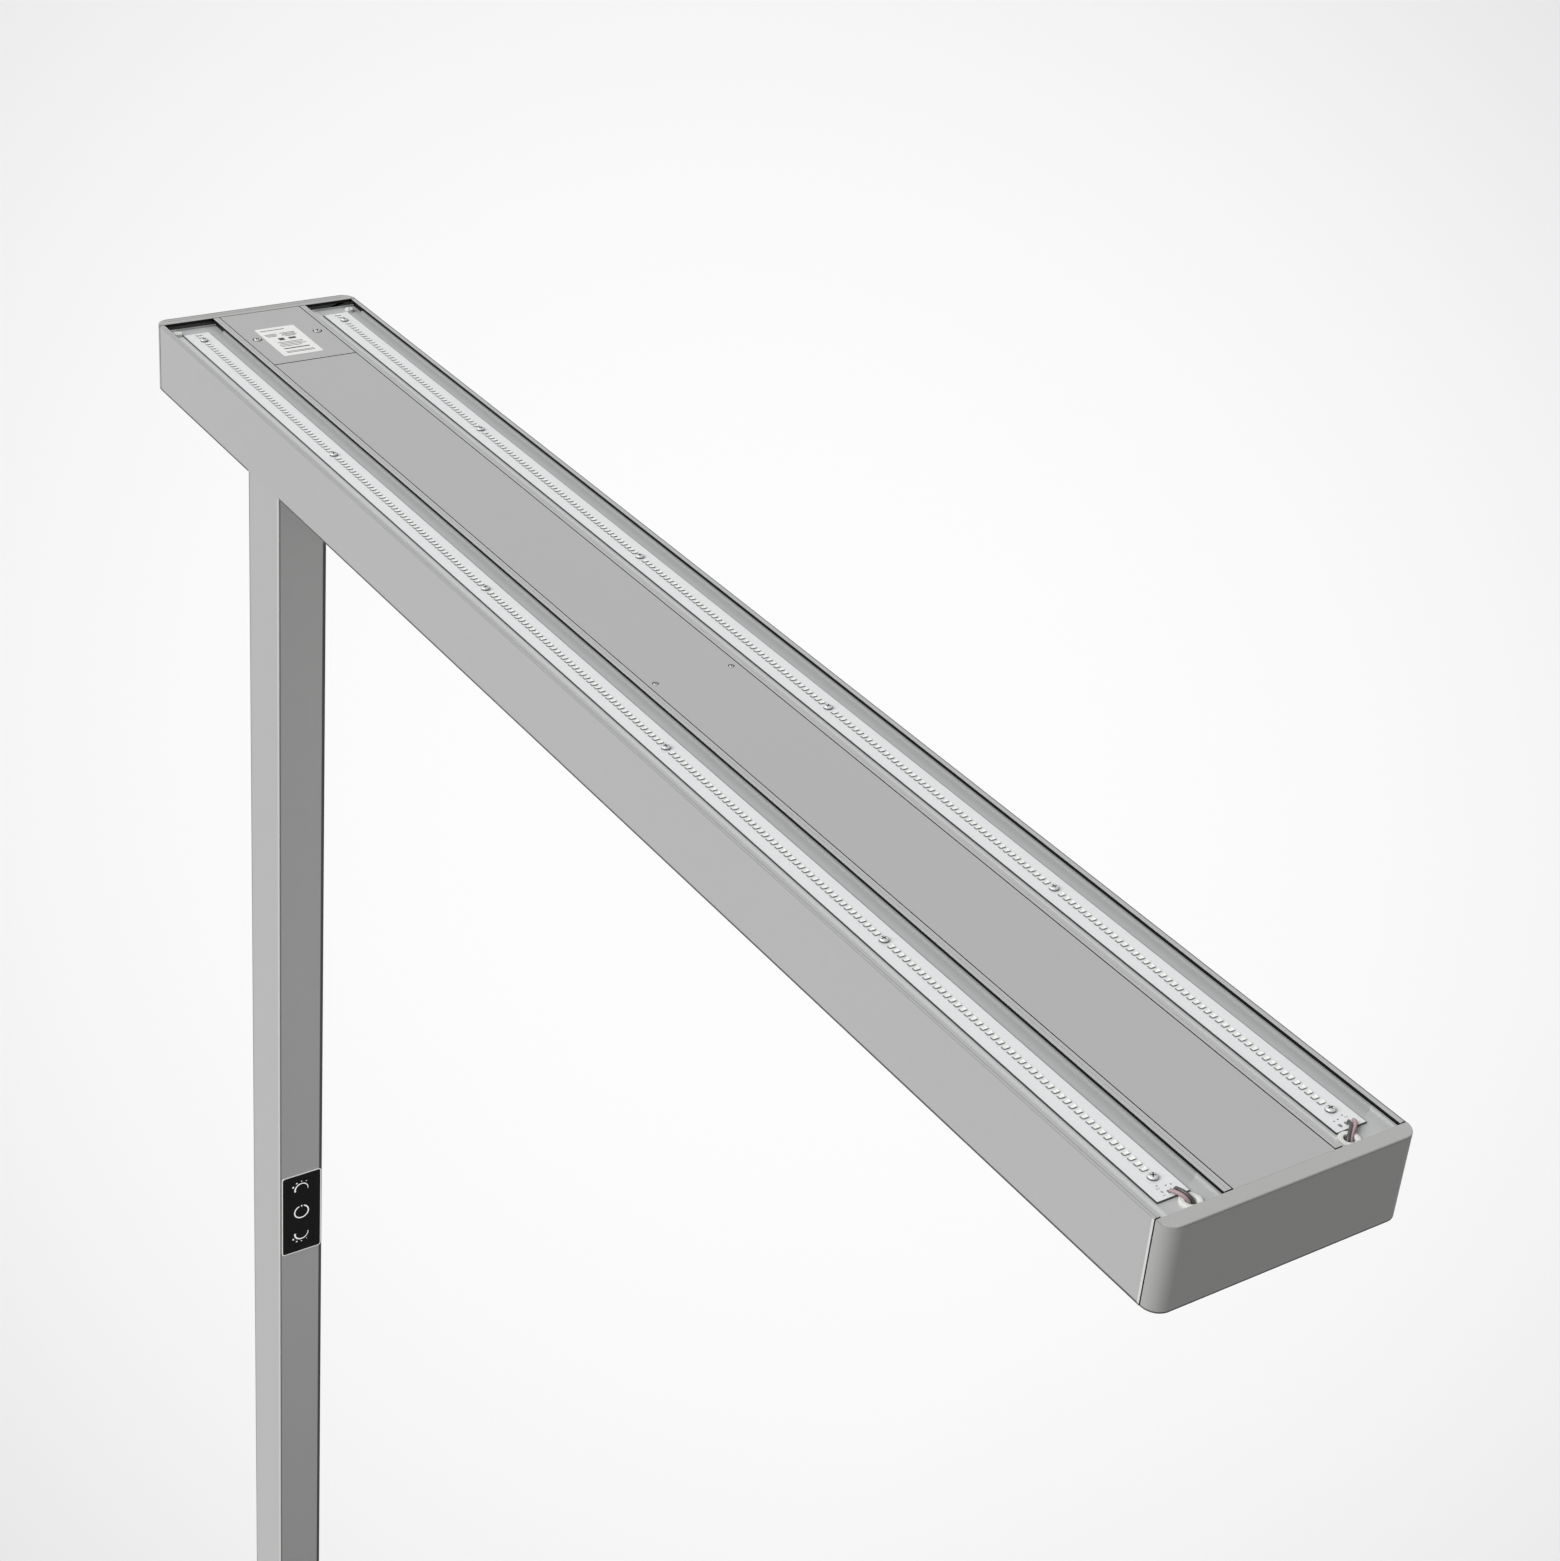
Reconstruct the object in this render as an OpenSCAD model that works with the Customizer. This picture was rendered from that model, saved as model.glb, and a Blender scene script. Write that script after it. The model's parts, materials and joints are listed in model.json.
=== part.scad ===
// Office floor lamp: a long, shallow head on a square column, set near one edge of a flat base.
// Millimetres. The origin is on the floor under the column's axis, +Z is up, +X runs along the
// head towards its long overhang, and +Y runs across the head, away from the column's side.

/* [Lamp] */
// Height of the lamp above the floor
lamp_h = 1950; // [1700:10:2200]
// Distance from the column's axis back to the rear end of the head
rear_reach = 192.5; // [170:0.5:225]

/* [Head] */
// Length of the head over both end caps
head_l = 1170; // [1100:5:1300]
// Width of the head
head_w = 158; // [154:1:176]
// Height of the head
head_h = 51; // [49:0.5:58]
// Thickness of the profile's side walls
side_wall = 2; // [1.6:0.1:2.2]
// Thickness of the two upright walls beside the centre channel
inner_wall = 2; // [1.6:0.1:2.2]
// Height of the web's underside above the underside of the head
web_rise = 19; // [18:0.5:20]
// Thickness of the web
web_t = 2; // [1.6:0.1:2.4]
// Width of the rims along the two long edges
rim_w = 3.6; // [3.4:0.1:4]
// Thickness of the rims and lips over the slots beside the trays
rim_t = 0.7; // [0.5:0.1:1]
// Radius of the outer top edges
rim_round = 0.8; // [0.4:0.1:1.2]
// Depth of the small step along the inner edge of each rim
rim_step = 0.3; // [0.2:0.1:0.4]
// Clear width of each trough
trough_w = 38.4; // [37:0.2:40]
// Width of the two lips beside the centre plate
lip_w = 4.4; // [4.2:0.1:5]
// How far each lip stands over the slot beside its tray
lip_over = 1.6; // [1.5:0.1:1.8]
// Width of the fine groove along the middle of each lip
groove_w = 0.4; // [0.3:0.1:0.6]
// Width of the ledges that carry the trays
tray_ledge_w = 3; // [2.5:0.1:3.5]
// Width of the ledges that carry the covers
cover_ledge_w = 4.5; // [4:0.1:5]
// Thickness of the ledges
ledge_t = 1.5; // [1.2:0.1:1.8]
// How far the bottom lips reach in under the diffuser
foot_lip_w = 1.5; // [1.2:0.1:2]
// Thickness of the bottom lips
foot_lip_t = 1.2; // [1:0.1:1.5]

/* [End caps] */
// Length of each end cap along the head
cap_l = 10; // [9:0.5:14]
// Wall thickness of the end caps
cap_wall = 2; // [1.5:0.1:2.5]
// Thickness of the flange that closes the top of each end cap
cap_flange_t = 1; // [0.8:0.1:1.5]
// Radius of the upright corners
cap_corner = 8; // [6:0.5:8.5]
// Radius of the top and bottom edges of the end caps
cap_edge = 0.6; // [0.4:0.1:1]
// Length of the two tongues that reach into the profile
tongue_l = 15; // [14:1:20]
// Thickness of the tongues
tongue_t = 3; // [2.5:0.1:4]

/* [Uplight] */
// Depth of the trough floor below the rims
tray_depth = 5.6; // [5:0.1:6.5]
// Sheet thickness of the trays
tray_t = 1.2; // [1:0.1:1.5]
// Height of the trays' side flanges above their floor
tray_flange_h = 1.9; // [1.5:0.1:2.4]
// Height of the trays' rear flanges above their floor
tray_end_h = 1; // [0.8:0.1:1.5]
// Length of the notch at the rear corners of the trays
tray_notch = 17; // [15:1:20]
// Distance of the uplight boards' ends from the ends of the head
board_in = 23; // [23:1:60]
// Width of the boards
board_w = 20; // [18:0.5:22]
// Thickness of the boards
board_t = 1; // [0.8:0.1:1.6]
// Spacing of the light-emitting diodes along a board, taken to the nearest that fits
led_pitch = 4.46; // [4:0.02:5]
// Length of a diode along the board
led_l = 2.8; // [2.4:0.1:3]
// Width of a diode across the board
led_w = 3.5; // [3:0.1:4]
// Height of a diode
led_h = 0.7; // [0.5:0.1:0.9]
// Diameter of the board screws' shanks
board_screw_d = 3; // [2.5:0.1:3]
// Diameter of the board screws' heads
board_screw_head_d = 5.6; // [5:0.1:6]
// Height of the board screws' heads
board_screw_head_h = 1.8; // [1.4:0.1:2.2]
// Diameter of the tray studs' heads
stud_d = 6.4; // [5.6:0.1:6.6]
// Height of the tray studs' heads
stud_h = 2.5; // [2:0.1:3]
// Distance of the tray studs from the head's sides
stud_inset = 10; // [9.5:0.1:10]
// Outer diameter of the lead grommets
grommet_d = 12; // [11:0.1:12]
// Bore of the lead grommets
grommet_bore = 6; // [5.4:0.1:6.4]
// How far the near grommet lies from its board's middle, towards the centre plate
near_grommet_shift = 5; // [4:0.1:8]
// How far the far grommet lies from its board's middle, towards the centre plate
far_grommet_shift = 7.6; // [4:0.1:8]
// Diameter of the leads
lead_d = 1.6; // [1.4:0.1:1.8]

/* [Covers] */
// Sheet thickness of the service cover and the centre plate
cover_t = 1.5; // [1.2:0.1:2]
// Length of the service cover
service_l = 98; // [90:1:110]
// Distance of the service cover's screws from the rear end of the head
service_screw_x = 60; // [56:1:64]
// Distance of the service cover's screws from its sides
service_screw_inset = 8.4; // [7.5:0.1:10]
// Diameter of the service cover's screw heads
service_screw_d = 6; // [5:0.1:6.5]
// Distance of the centre plate's screws from the rear end of the head
plate_screw_x = 633; // [600:1:680]
// Distance of the centre plate's screws from its sides
plate_screw_inset = 5.7; // [5.5:0.1:7]
// Diameter of the centre plate's screw heads
plate_screw_d = 3.2; // [3:0.1:3.6]
// Length of the rating label
label_l = 51.5; // [45:0.5:55]
// Width of the rating label
label_w = 29.2; // [25:0.1:32]
// Thickness of the rating label
label_t = 0.15; // [0.1:0.05:0.3]

/* [Driver and wiring] */
// Length of the driver's case
driver_l = 300; // [240:5:320]
// Width of the driver's case
driver_w = 42; // [38:1:46]
// Height of the driver's case
driver_h = 24; // [20:0.5:25]
// Length of the terminal block
terminal_l = 24; // [20:1:28]
// Width of the terminal block
terminal_w = 40; // [36:1:44]
// Height of the terminal block
terminal_h = 16; // [14:0.5:20]
// Diameter of the supply cable
supply_d = 7; // [6:0.1:7.2]
// Diameter of the keypad's cable
signal_d = 3.5; // [3:0.1:4]

/* [Downlight] */
// Length of the bottom plate behind the diffuser
bottom_plate_l = 240; // [235:5:260]
// Thickness of the bottom plate, which is also the height of the groove that holds it
bottom_plate_t = 3; // [2.8:0.1:3.5]
// Thickness of the diffuser
diffuser_t = 2.6; // [2:0.1:2.8]
// Distance of the downlight boards' front ends from the front of the head
down_board_in = 40; // [35:1:150]
// Spacing of the diodes along a downlight board
down_led_pitch = 10; // [9:0.5:14]

/* [Column] */
// Size of the column along the head
column_x = 51; // [47:0.5:56]
// Size of the column across the head
column_y = 36.5; // [36.5:0.5:44]
// Wall thickness of the column
column_wall = 2.5; // [2:0.1:2.6]
// Size of the bevel along the column's edges
column_edge = 0.5; // [0.3:0.1:1]
// Height of the plug in the top of the column
head_plug_h = 60; // [45:1:80]
// Height of the plug in the foot of the column
foot_plug_h = 40; // [36:1:50]
// Diameter of the bolts that hold the head and the base to the column
bolt_d = 6; // [5:0.5:6]
// Bolt spacing along the head
bolt_gap_x = 30; // [28:1:32]
// Bolt spacing across the head
bolt_gap_y = 18; // [17.5:0.5:20]
// Diameter of the cable hole through the head's plug
cable_hole_d = 14; // [13:0.5:14]
// Length of the bracket that joins the head to the column
bracket_l = 120; // [110:5:140]
// Thickness of the bracket
bracket_t = 5; // [4:0.5:6]

/* [Keypad] */
// Width of the keypad
pad_w = 32.4; // [30:0.1:32.5]
// Height of the keypad
pad_h = 77; // [72:0.5:80]
// Distance of the keypad's middle below the underside of the head
pad_drop = 635; // [500:1:800]
// How far the keypad stands out of the column
pad_proud = 0.8; // [0.6:0.1:1.2]
// Width of each key
key_w = 20; // [17:0.5:20]
// Height of each key
key_h = 16; // [13:0.5:16]
// Spacing of the keys
key_pitch = 24.5; // [22:0.5:25]
// Travel of each key
key_travel = 0.5; // [0.3:0.1:0.6]

/* [Cable gland] */
// Height of the cable gland above the floor
gland_z = 80; // [75:1:120]
// Diameter of the gland's thread
gland_thread_d = 12; // [11:0.5:13]
// Width of the gland's hexagons across their corners
gland_hex_d = 18; // [17:0.5:20]

/* [Base] */
// Length of the base along the head
base_l = 520; // [440:10:600]
// Width of the base across the head
base_w = 300; // [260:10:360]
// Thickness of the base plate
base_t = 10; // [8:0.5:14]
// Distance from the column's axis back to the rear edge of the base
base_rear = 110; // [80:5:140]
// Distance from the column's side to the near edge of the base
base_side = 30; // [15:5:50]
// Radius of the base's corners
base_corner = 12; // [8:1:20]
// Thickness of the rubber pad under the base
base_pad_t = 2; // [1.5:0.5:3]

/* [Hidden] */

// Smoothness of round parts, and of small round parts
round_fn = 48;
small_fn = 24;
// Overrun of a cut past the face that it opens
cut = 1;

// Clearances
seam_gap = 0.3;          // between an end cap and the profile
cover_gap = 0.25;        // round the service cover and the centre plate
plate_front_gap = 0.05;  // between the centre plate and the front cap
tray_gap = 0.2;          // beside and behind the trays
panel_gap = 0.3;         // round the diffuser and the bottom plate
screw_gap = 0.05;        // round a screw in its thread
hole_gap = 0.2;          // round a shank in a clearance hole
plug_gap = 0.15;         // between the plugs and the column
key_gap = 0.15;          // round each key in the keypad
stop_gap = 0.05;         // between a key's flange and the back of the keypad
plunger_gap = 0.1;       // round a plunger in its switch
insert_gap = 0.2;        // between the keypad's body and the column

// Head: levels above its underside and lines across it
web_top = web_rise + web_t;
tray_top = head_h - tray_depth;
tray_seat = tray_top - tray_t;
cover_seat = head_h - cover_t;
groove_top = foot_lip_t + bottom_plate_t;
lip_y = rim_w + trough_w;
opening_y = lip_y + lip_w;
inner_y = lip_y + lip_over;
channel_y = inner_y + inner_wall;
head_mid_y = head_w / 2;
head_z = lamp_h - head_h;
profile_x0 = cap_l + seam_gap;
profile_x1 = head_l - profile_x0;
axis_x = rear_reach;
axis_y = column_y / 2;
led_line = rim_w + trough_w / 2;
groove_depth = 0.3;

// Uplight boards: six screws, with the diodes between them on one even pitch
board_x0 = board_in;
board_x1 = head_l - board_in;
screw_count = 6;
screw_from_end = 15.3;
first_screw = board_x0 + screw_from_end;
screw_pitch = (board_x1 - screw_from_end - first_screw) / (screw_count - 1);
pitches_per_screw = round(screw_pitch / led_pitch);
led_step = screw_pitch / pitches_per_screw;
skipped_pitches = 1.5;
rear_leds = 2;
board_screws_x = [for (i = [0 : screw_count - 1]) first_screw + i * screw_pitch];
led_places = concat(
    [for (i = [0 : rear_leds - 1]) first_screw - (skipped_pitches + i) * led_step],
    [for (s = [0 : screw_count - 2])
        for (p = [skipped_pitches : pitches_per_screw - skipped_pitches])
            board_screws_x[s] + p * led_step]
);
thread_past = 2;         // how far a screw reaches past the sheet that it is screwed into
stud_x = board_x0 - stud_d / 2 + 0.5;
stud_slot_w = 1.2;
stud_slot_depth = 1;
stud_slot_turn = 20;

// Grommets stand just clear of the boards' front ends
grommet_clear = 0.5;
grommet_x = board_x1 + grommet_clear + grommet_d / 2;
near_grommet = [grommet_x, led_line + near_grommet_shift];
far_grommet = [grommet_x, head_w - led_line - far_grommet_shift];
grommet_neck_d = grommet_d - 3.2;
grommet_lip_h = 1.8;
grommet_foot_h = 1.2;
grommet_edge = 0.7;

// Leads of the boards
lead_apart = 1.1;
lead_hole_d = 6;
lead_pad_in = 3.4;
lead_pad_gap = 2;
lead_pads_shift = 2.2;
passage_d = 9;

// Covers
cover_y0 = opening_y + cover_gap;
cover_w = head_w - 2 * cover_y0;
service_x0 = cap_l + cover_gap;
service_x1 = service_x0 + service_l - cover_gap;
plate_x0 = service_x1 + cover_gap;
plate_x1 = head_l - cap_l - plate_front_gap;
service_screws_y = [cover_y0 + service_screw_inset, head_w - cover_y0 - service_screw_inset];
plate_screws_y = [cover_y0 + plate_screw_inset, head_w - cover_y0 - plate_screw_inset];
cover_screw_d = 2.5;
cover_screw_l = 4;
cover_recess = 0.6;
service_screw_h = 1.2;
plate_screw_h = 0.5;
label_mid = [68.8, head_mid_y - 3.5];

// Brackets under the covers' screws
strap_l = 16;
strap_t = 1.6;
strap_leg_in = 12;
strap_y0 = channel_y + cover_ledge_w + panel_gap;

// Driver, terminal block and the screws that hold them
driver_x0 = bottom_plate_l;
driver_x1 = driver_x0 + driver_l;
ear_l = 12;
ear_t = 3;
connector_drop = 6;      // connector blocks below the top of the driver's case
connector_gap = 1;       // between them and the heads of the screws
terminal_x0 = service_screw_x + strap_l;
terminal_x1 = terminal_x0 + terminal_l;
terminal_mid_x = (terminal_x0 + terminal_x1) / 2;
terminal_pitch = 7;
terminal_ways = 5;
terminal_well_d = 3.6;
terminal_well_in = 5;
terminal_well_depth = 6;
terminal_screw_in = 5;
small_screw_d = 4;
small_head_d = 7;
small_head_h = 2.4;

// Screws from below that hold the end caps' tongues
tongue_y0 = 8;
tongue_w = 28;
cap_screw_x = cap_l + tongue_l / 2;
cap_screw_y = tongue_y0 + tongue_w / 2;
cap_screw_short = 0.5;

// Downlight
down_board_x0 = bottom_plate_l + panel_gap + 30;
down_board_x1 = head_l - down_board_in;
down_board_y = head_w / 4;
down_board_z = web_rise - board_t;
down_screw_count = 5;
down_screw_in = 14;
down_screw_pitch = (down_board_x1 - down_board_x0 - 2 * down_screw_in) / (down_screw_count - 1);
down_screws_x = [for (i = [0 : down_screw_count - 1])
    down_board_x0 + down_screw_in + i * down_screw_pitch];
down_led_first = 24;
down_led_count = floor((down_board_x1 - down_board_x0 - 2 * down_led_first) / down_led_pitch) + 1;
down_led_clear = 6;
down_lead_in = 6;
down_lead_out = 4;

// Column, plugs and bolts
base_top = base_pad_t + base_t;
plug_x = column_x - 2 * (column_wall + plug_gap);
plug_y = column_y - 2 * (column_wall + plug_gap);
plug_bolts = [for (sx = [-1, 1]) for (sy = [-1, 1]) [sx * bolt_gap_x / 2, sy * bolt_gap_y / 2]];
bolt_grip = 22;
bolt_head_d = bolt_d * 1.6;
bolt_head_h = bolt_d;
bolt_short = 2;          // how far a bolt ends before the bottom of its hole
sunk_head_d = bolt_d * 2;
sunk_head_h = bolt_d * 0.6;
socket_share = 0.6;
bracket_y0 = side_wall + foot_lip_w + panel_gap;
bracket_w = 76;
bracket_wall = 8;
bracket_screw_grip = 8;
bracket_screws = [for (sx = [-1, 1]) for (y = [side_wall + 10, channel_y + 5])
    [sx * (bracket_l - bracket_wall) / 2, y]];
web_opening_l = 80;
web_opening_y0 = 6;
web_opening_y1 = 38;
plug_screw_d = 5;
plug_screw_head_d = 9;
plug_screw_head_h = 2;
plug_screw_l = 10;
plug_screws_z = [base_top + foot_plug_h / 2, head_z - head_plug_h / 2];

// Keypad, measured outwards from the column's axis
face_x = column_x / 2;
pad_z = head_z - pad_drop;
pad_corner = 2;
pad_overlap = 3;
pad_end_overlap = 1.5;
body_w = pad_w - 2 * pad_overlap - 2 * insert_gap;
body_h = pad_h - 2 * pad_end_overlap - 2 * insert_gap;
body_wall = 1.2;
pad_front = face_x + pad_proud;
pad_plate_t = 2;
pad_back = pad_front - pad_plate_t;
key_flange = 0.5;
key_flange_t = 1.25;
key_back = pad_back - stop_gap - key_flange_t;
plunger_d = 3.5;
plunger_l = 1.4;
switch_w = 6;
switch_front = key_back - key_travel - 0.3;
switch_t = 2.5;
switch_well = plunger_l - (key_back - switch_front) + key_travel + 0.4;
circuit_front = switch_front - switch_t;
circuit_t = 1.6;
circuit_back = circuit_front - circuit_t;
post_d = 4;
post_y = 8;
post_z = key_pitch / 2;
board_m2_d = 2;
board_m2_head_d = 3.8;
board_m2_head_h = 1.3;
board_m2_grip = 2.5;

// Cable gland
gland_hex_t = 5;
gland_dome_d = 15;
gland_dome_h = 11;
gland_nut_t = 4;
gland_bore = supply_d + 2 * hole_gap;
gland_thread_l = column_wall + gland_nut_t + 1;
gland_dome_taper = 3;

// Base
base_y0 = -column_y / 2 - base_side;
pad_inset = 4;

// Cable routes
signal_x = 4.5;
signal_shift = 3;
supply_x = -2.5;
wire_bend = 3;
channel_z = web_top + 9;
down_run_z = web_top + 6;

// Moves what is drawn in the head's own frame to its place on the column
module in_head() {
    translate([-rear_reach, -column_y / 2, head_z]) children();
}

// Places a part and its copy across the head's middle
module mirrored_in_head() {
    children();
    across_head() children();
}

module across_head() {
    translate([0, head_w, 0]) mirror([0, 1, 0]) children();
}

module block(low, high) {
    translate(low) cube(high - low);
}

module rod(d, h, at = [0, 0, 0], fn = small_fn) {
    translate(at) cylinder(d = d, h = h, $fn = fn);
}

// Screw pointing down: its head stands on the point given, with a cross cut into it
module cross_screw(at, head_d, head_h, shank_d, shank_l) {
    slot_w = head_d / 6;
    slot_l = head_d * 0.62;
    translate(at) difference() {
        union() {
            rod(head_d, head_h);
            rod(shank_d, shank_l + head_h / 2, [0, 0, -shank_l]);
        }
        for (turn = [0, 90]) rotate(turn)
            translate([-slot_l / 2, -slot_w / 2, head_h * 0.5]) cube([slot_l, slot_w, head_h]);
    }
}

module rounded_slab(l, w, t, r) {
    for (x = [r, l - r], y = [r, w - r]) rod(2 * r, t, [x, y, 0], round_fn);
    translate([r, 0, 0]) cube([l - 2 * r, w, t]);
    translate([0, r, 0]) cube([l, w - 2 * r, t]);
}

// Tube swept along a path: each ring's normal is carried on from the ring before it
function unit(v) = v / norm(v);
function headings(p) =
    [for (i = [0 : len(p) - 1]) unit(p[min(i + 1, len(p) - 1)] - p[max(i - 1, 0)])];
function squared(n, t) = unit(n - (n * t) * t);
function first_normal(t) = squared(abs(t.z) > 0.7 ? [1, 0, 0] : [0, 0, 1], t);
function ring_normals(t) =
    [for (i = 0, n = first_normal(t[0]); i < len(t); i = i + 1, n = i < len(t) ? squared(n, t[i]) : n) n];

module tube(path, d, sides = 8) {
    t = headings(path);
    n = ring_normals(t);
    last = len(path) - 1;
    points = [for (i = [0 : last]) for (k = [0 : sides - 1]) let (a = 360 * k / sides)
        path[i] + d / 2 * (cos(a) * n[i] + sin(a) * cross(t[i], n[i]))];
    walls = [for (i = [0 : last - 1]) for (k = [0 : sides - 1])
        let (a = i * sides + k, b = i * sides + (k + 1) % sides)
        for (face = [[a, b, b + sides], [a, b + sides, a + sides]]) face];
    ends = [[for (k = [sides - 1 : -1 : 0]) k], [for (k = [0 : sides - 1]) last * sides + k]];
    polyhedron(points, [for (f = concat(walls, ends)) [for (i = [len(f) - 1 : -1 : 0]) f[i]]]);
}

// Turns the corners of a route into arcs of radius r
function bent(route, r, steps = 4) = concat(
    [route[0]],
    [for (i = [1 : len(route) - 2])
        let (a = unit(route[i - 1] - route[i]), b = unit(route[i + 1] - route[i]),
             half = acos(a * b) / 2, reach = r / tan(half), mid = route[i] + unit(a + b) * r / sin(half),
             from = unit(route[i] + a * reach - mid), to = unit(route[i] + b * reach - mid),
             sweep = 180 - 2 * half)
        for (s = [0 : steps]) let (u = s / steps * sweep)
            mid + r * (from * sin(sweep - u) + to * sin(u)) / sin(sweep)],
    [route[len(route) - 1]]
);

function curve(p, steps) = [for (s = [0 : steps]) let (u = s / steps, v = 1 - u)
    v * v * v * p[0] + 3 * v * v * u * p[1] + 3 * v * u * u * p[2] + u * u * u * p[3]];

// Countersunk screw pointing up, with a hexagon socket: its head is flush with the point given
module sunk_screw(head_d, head_h, shank_d, length) {
    difference() {
        union() {
            cylinder(d1 = head_d, d2 = shank_d, h = head_h, $fn = small_fn);
            rod(shank_d, length);
        }
        translate([0, 0, -cut]) cylinder(d = shank_d * socket_share, h = cut + head_h * 0.7, $fn = 6);
    }
}

// One half of the head's section, from the web's underside round the outside to the web's top
function half_section() = concat(
    [
        [side_wall, web_rise],
        [side_wall, groove_top + foot_lip_t],
        [side_wall + foot_lip_w, groove_top + foot_lip_t],
        [side_wall + foot_lip_w, groove_top],
        [side_wall, groove_top],
        [side_wall, foot_lip_t],
        [side_wall + foot_lip_w, foot_lip_t],
        [side_wall + foot_lip_w, 0],
        [0, 0]
    ],
    [for (a = [180 : -15 : 90]) [rim_round * (1 + cos(a)), head_h - rim_round * (1 - sin(a))]],
    [
        [rim_w - 2 * rim_step, head_h],
        [rim_w - 2 * rim_step, head_h - rim_step],
        [rim_w, head_h - rim_step],
        [rim_w, head_h - rim_t],
        [side_wall, head_h - rim_t],
        [side_wall, tray_seat],
        [side_wall + tray_ledge_w, tray_seat],
        [side_wall + tray_ledge_w, tray_seat - ledge_t],
        [side_wall, tray_seat - ledge_t],
        [side_wall, web_top],
        [inner_y, web_top],
        [inner_y, tray_seat - ledge_t],
        [inner_y - tray_ledge_w, tray_seat - ledge_t],
        [inner_y - tray_ledge_w, tray_seat],
        [inner_y, tray_seat],
        [inner_y, head_h - rim_t],
        [lip_y, head_h - rim_t],
        [lip_y, head_h],
        [lip_y + (lip_w - groove_w) / 2, head_h],
        [lip_y + (lip_w - groove_w) / 2, head_h - groove_depth],
        [lip_y + (lip_w + groove_w) / 2, head_h - groove_depth],
        [lip_y + (lip_w + groove_w) / 2, head_h],
        [opening_y, head_h],
        [opening_y, cover_seat],
        [channel_y + cover_ledge_w, cover_seat],
        [channel_y + cover_ledge_w, cover_seat - ledge_t],
        [channel_y, cover_seat - ledge_t],
        [channel_y, web_top]
    ]
);

function across(points) =
    [for (i = [len(points) - 1 : -1 : 0]) [head_w - points[i].x, points[i].y]];

module head_profile() {
    color("#b4b5b4") in_head() difference() {
        translate([profile_x0, 0, 0]) rotate([90, 0, 90])
            linear_extrude(profile_x1 - profile_x0)
                polygon(concat(half_section(), across(half_section())));
        // Way through the web to the bolts and for the cables
        block([axis_x - web_opening_l / 2, web_opening_y0, web_rise - cut],
              [axis_x + web_opening_l / 2, web_opening_y1, web_top + cut]);
        cable_passages();
        for (x = [cap_screw_x, head_l - cap_screw_x], y = [cap_screw_y, head_w - cap_screw_y])
            rod(small_screw_d + 2 * hole_gap, web_t + 2 * cut, [x, y, web_rise - cut]);
        for (p = bracket_screws)
            rod(small_screw_d + 2 * hole_gap, web_t + 2 * cut, [axis_x + p.x, p.y, web_rise - cut]);
        for (x = driver_screws_x())
            rod(small_screw_d + 2 * screw_gap, web_t + 2 * cut, [x, head_mid_y, web_rise - cut]);
        for (y = terminal_screws_y())
            rod(small_screw_d + 2 * screw_gap, web_t + 2 * cut,
                [terminal_mid_x, y, web_rise - cut]);
        mirrored_in_head() for (x = down_screws_x)
            rod(board_screw_d + 2 * screw_gap, web_t + 2 * cut, [x, down_board_y, web_rise - cut]);
    }
}

// Holes in the walls beside the centre channel and in the web, for cables and leads
module cable_passages() {
    for (x = [axis_x + supply_x, axis_x + signal_x + signal_shift])
        translate([x, inner_y - cut, channel_z]) rotate([-90, 0, 0])
            rod(passage_d, inner_wall + 2 * cut);
    mirrored_in_head() translate([lead_turn_x(), inner_y - cut, lead_run_z()]) rotate([-90, 0, 0])
        rod(passage_d, inner_wall + 2 * cut);
    mirrored_in_head() rod(lead_hole_d, web_t + 2 * cut,
        [down_board_x0 - down_lead_out, down_lead_y(), web_rise - cut]);
}

// Plan of the rear end cap, drawn in by a margin on its three outer sides
function cap_plan(inset) = let (r = cap_corner - inset) concat(
    [[cap_l, inset]],
    [for (a = [270 : -11.25 : 180]) [cap_corner + r * cos(a), cap_corner + r * sin(a)]],
    [for (a = [180 : -11.25 : 90]) [cap_corner + r * cos(a), head_w - cap_corner + r * sin(a)]],
    [[cap_l, head_w - inset]]
);

module end_cap() {
    difference() {
        union() {
            difference() {
                hull() {
                    linear_extrude(head_h) polygon(cap_plan(cap_edge));
                    translate([0, 0, cap_edge]) linear_extrude(head_h - 2 * cap_edge)
                        polygon(cap_plan(0));
                }
                block([cap_corner, cap_wall, cap_wall],
                      [cap_l + cut, head_w - cap_wall, head_h - cap_flange_t]);
                block([cap_wall, cap_corner, cap_wall],
                      [cap_l + cut, head_w - cap_corner, head_h - cap_flange_t]);
            }
            mirrored_in_head() block([cap_wall / 2, tongue_y0, web_top],
                [cap_l + tongue_l, tongue_y0 + tongue_w, web_top + tongue_t]);
        }
        mirrored_in_head() rod(small_screw_d + 2 * screw_gap, tongue_t + 2 * cut,
            [cap_screw_x, cap_screw_y, web_top - cut]);
    }
}

module rear_end_cap() {
    color("#b2b2b1") in_head() end_cap();
}

module front_end_cap() {
    color("#b2b2b1") in_head() translate([head_l, 0, 0]) mirror([1, 0, 0]) end_cap();
}

module end_cap_screws() {
    color("#8f9294") in_head()
        for (x = [cap_screw_x, head_l - cap_screw_x], y = [cap_screw_y, head_w - cap_screw_y])
            translate([x, y, web_rise]) mirror([0, 0, 1])
                cross_screw([0, 0, 0], small_head_d, small_head_h, small_screw_d,
                            web_t + tongue_t - cap_screw_short);
}

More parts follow.
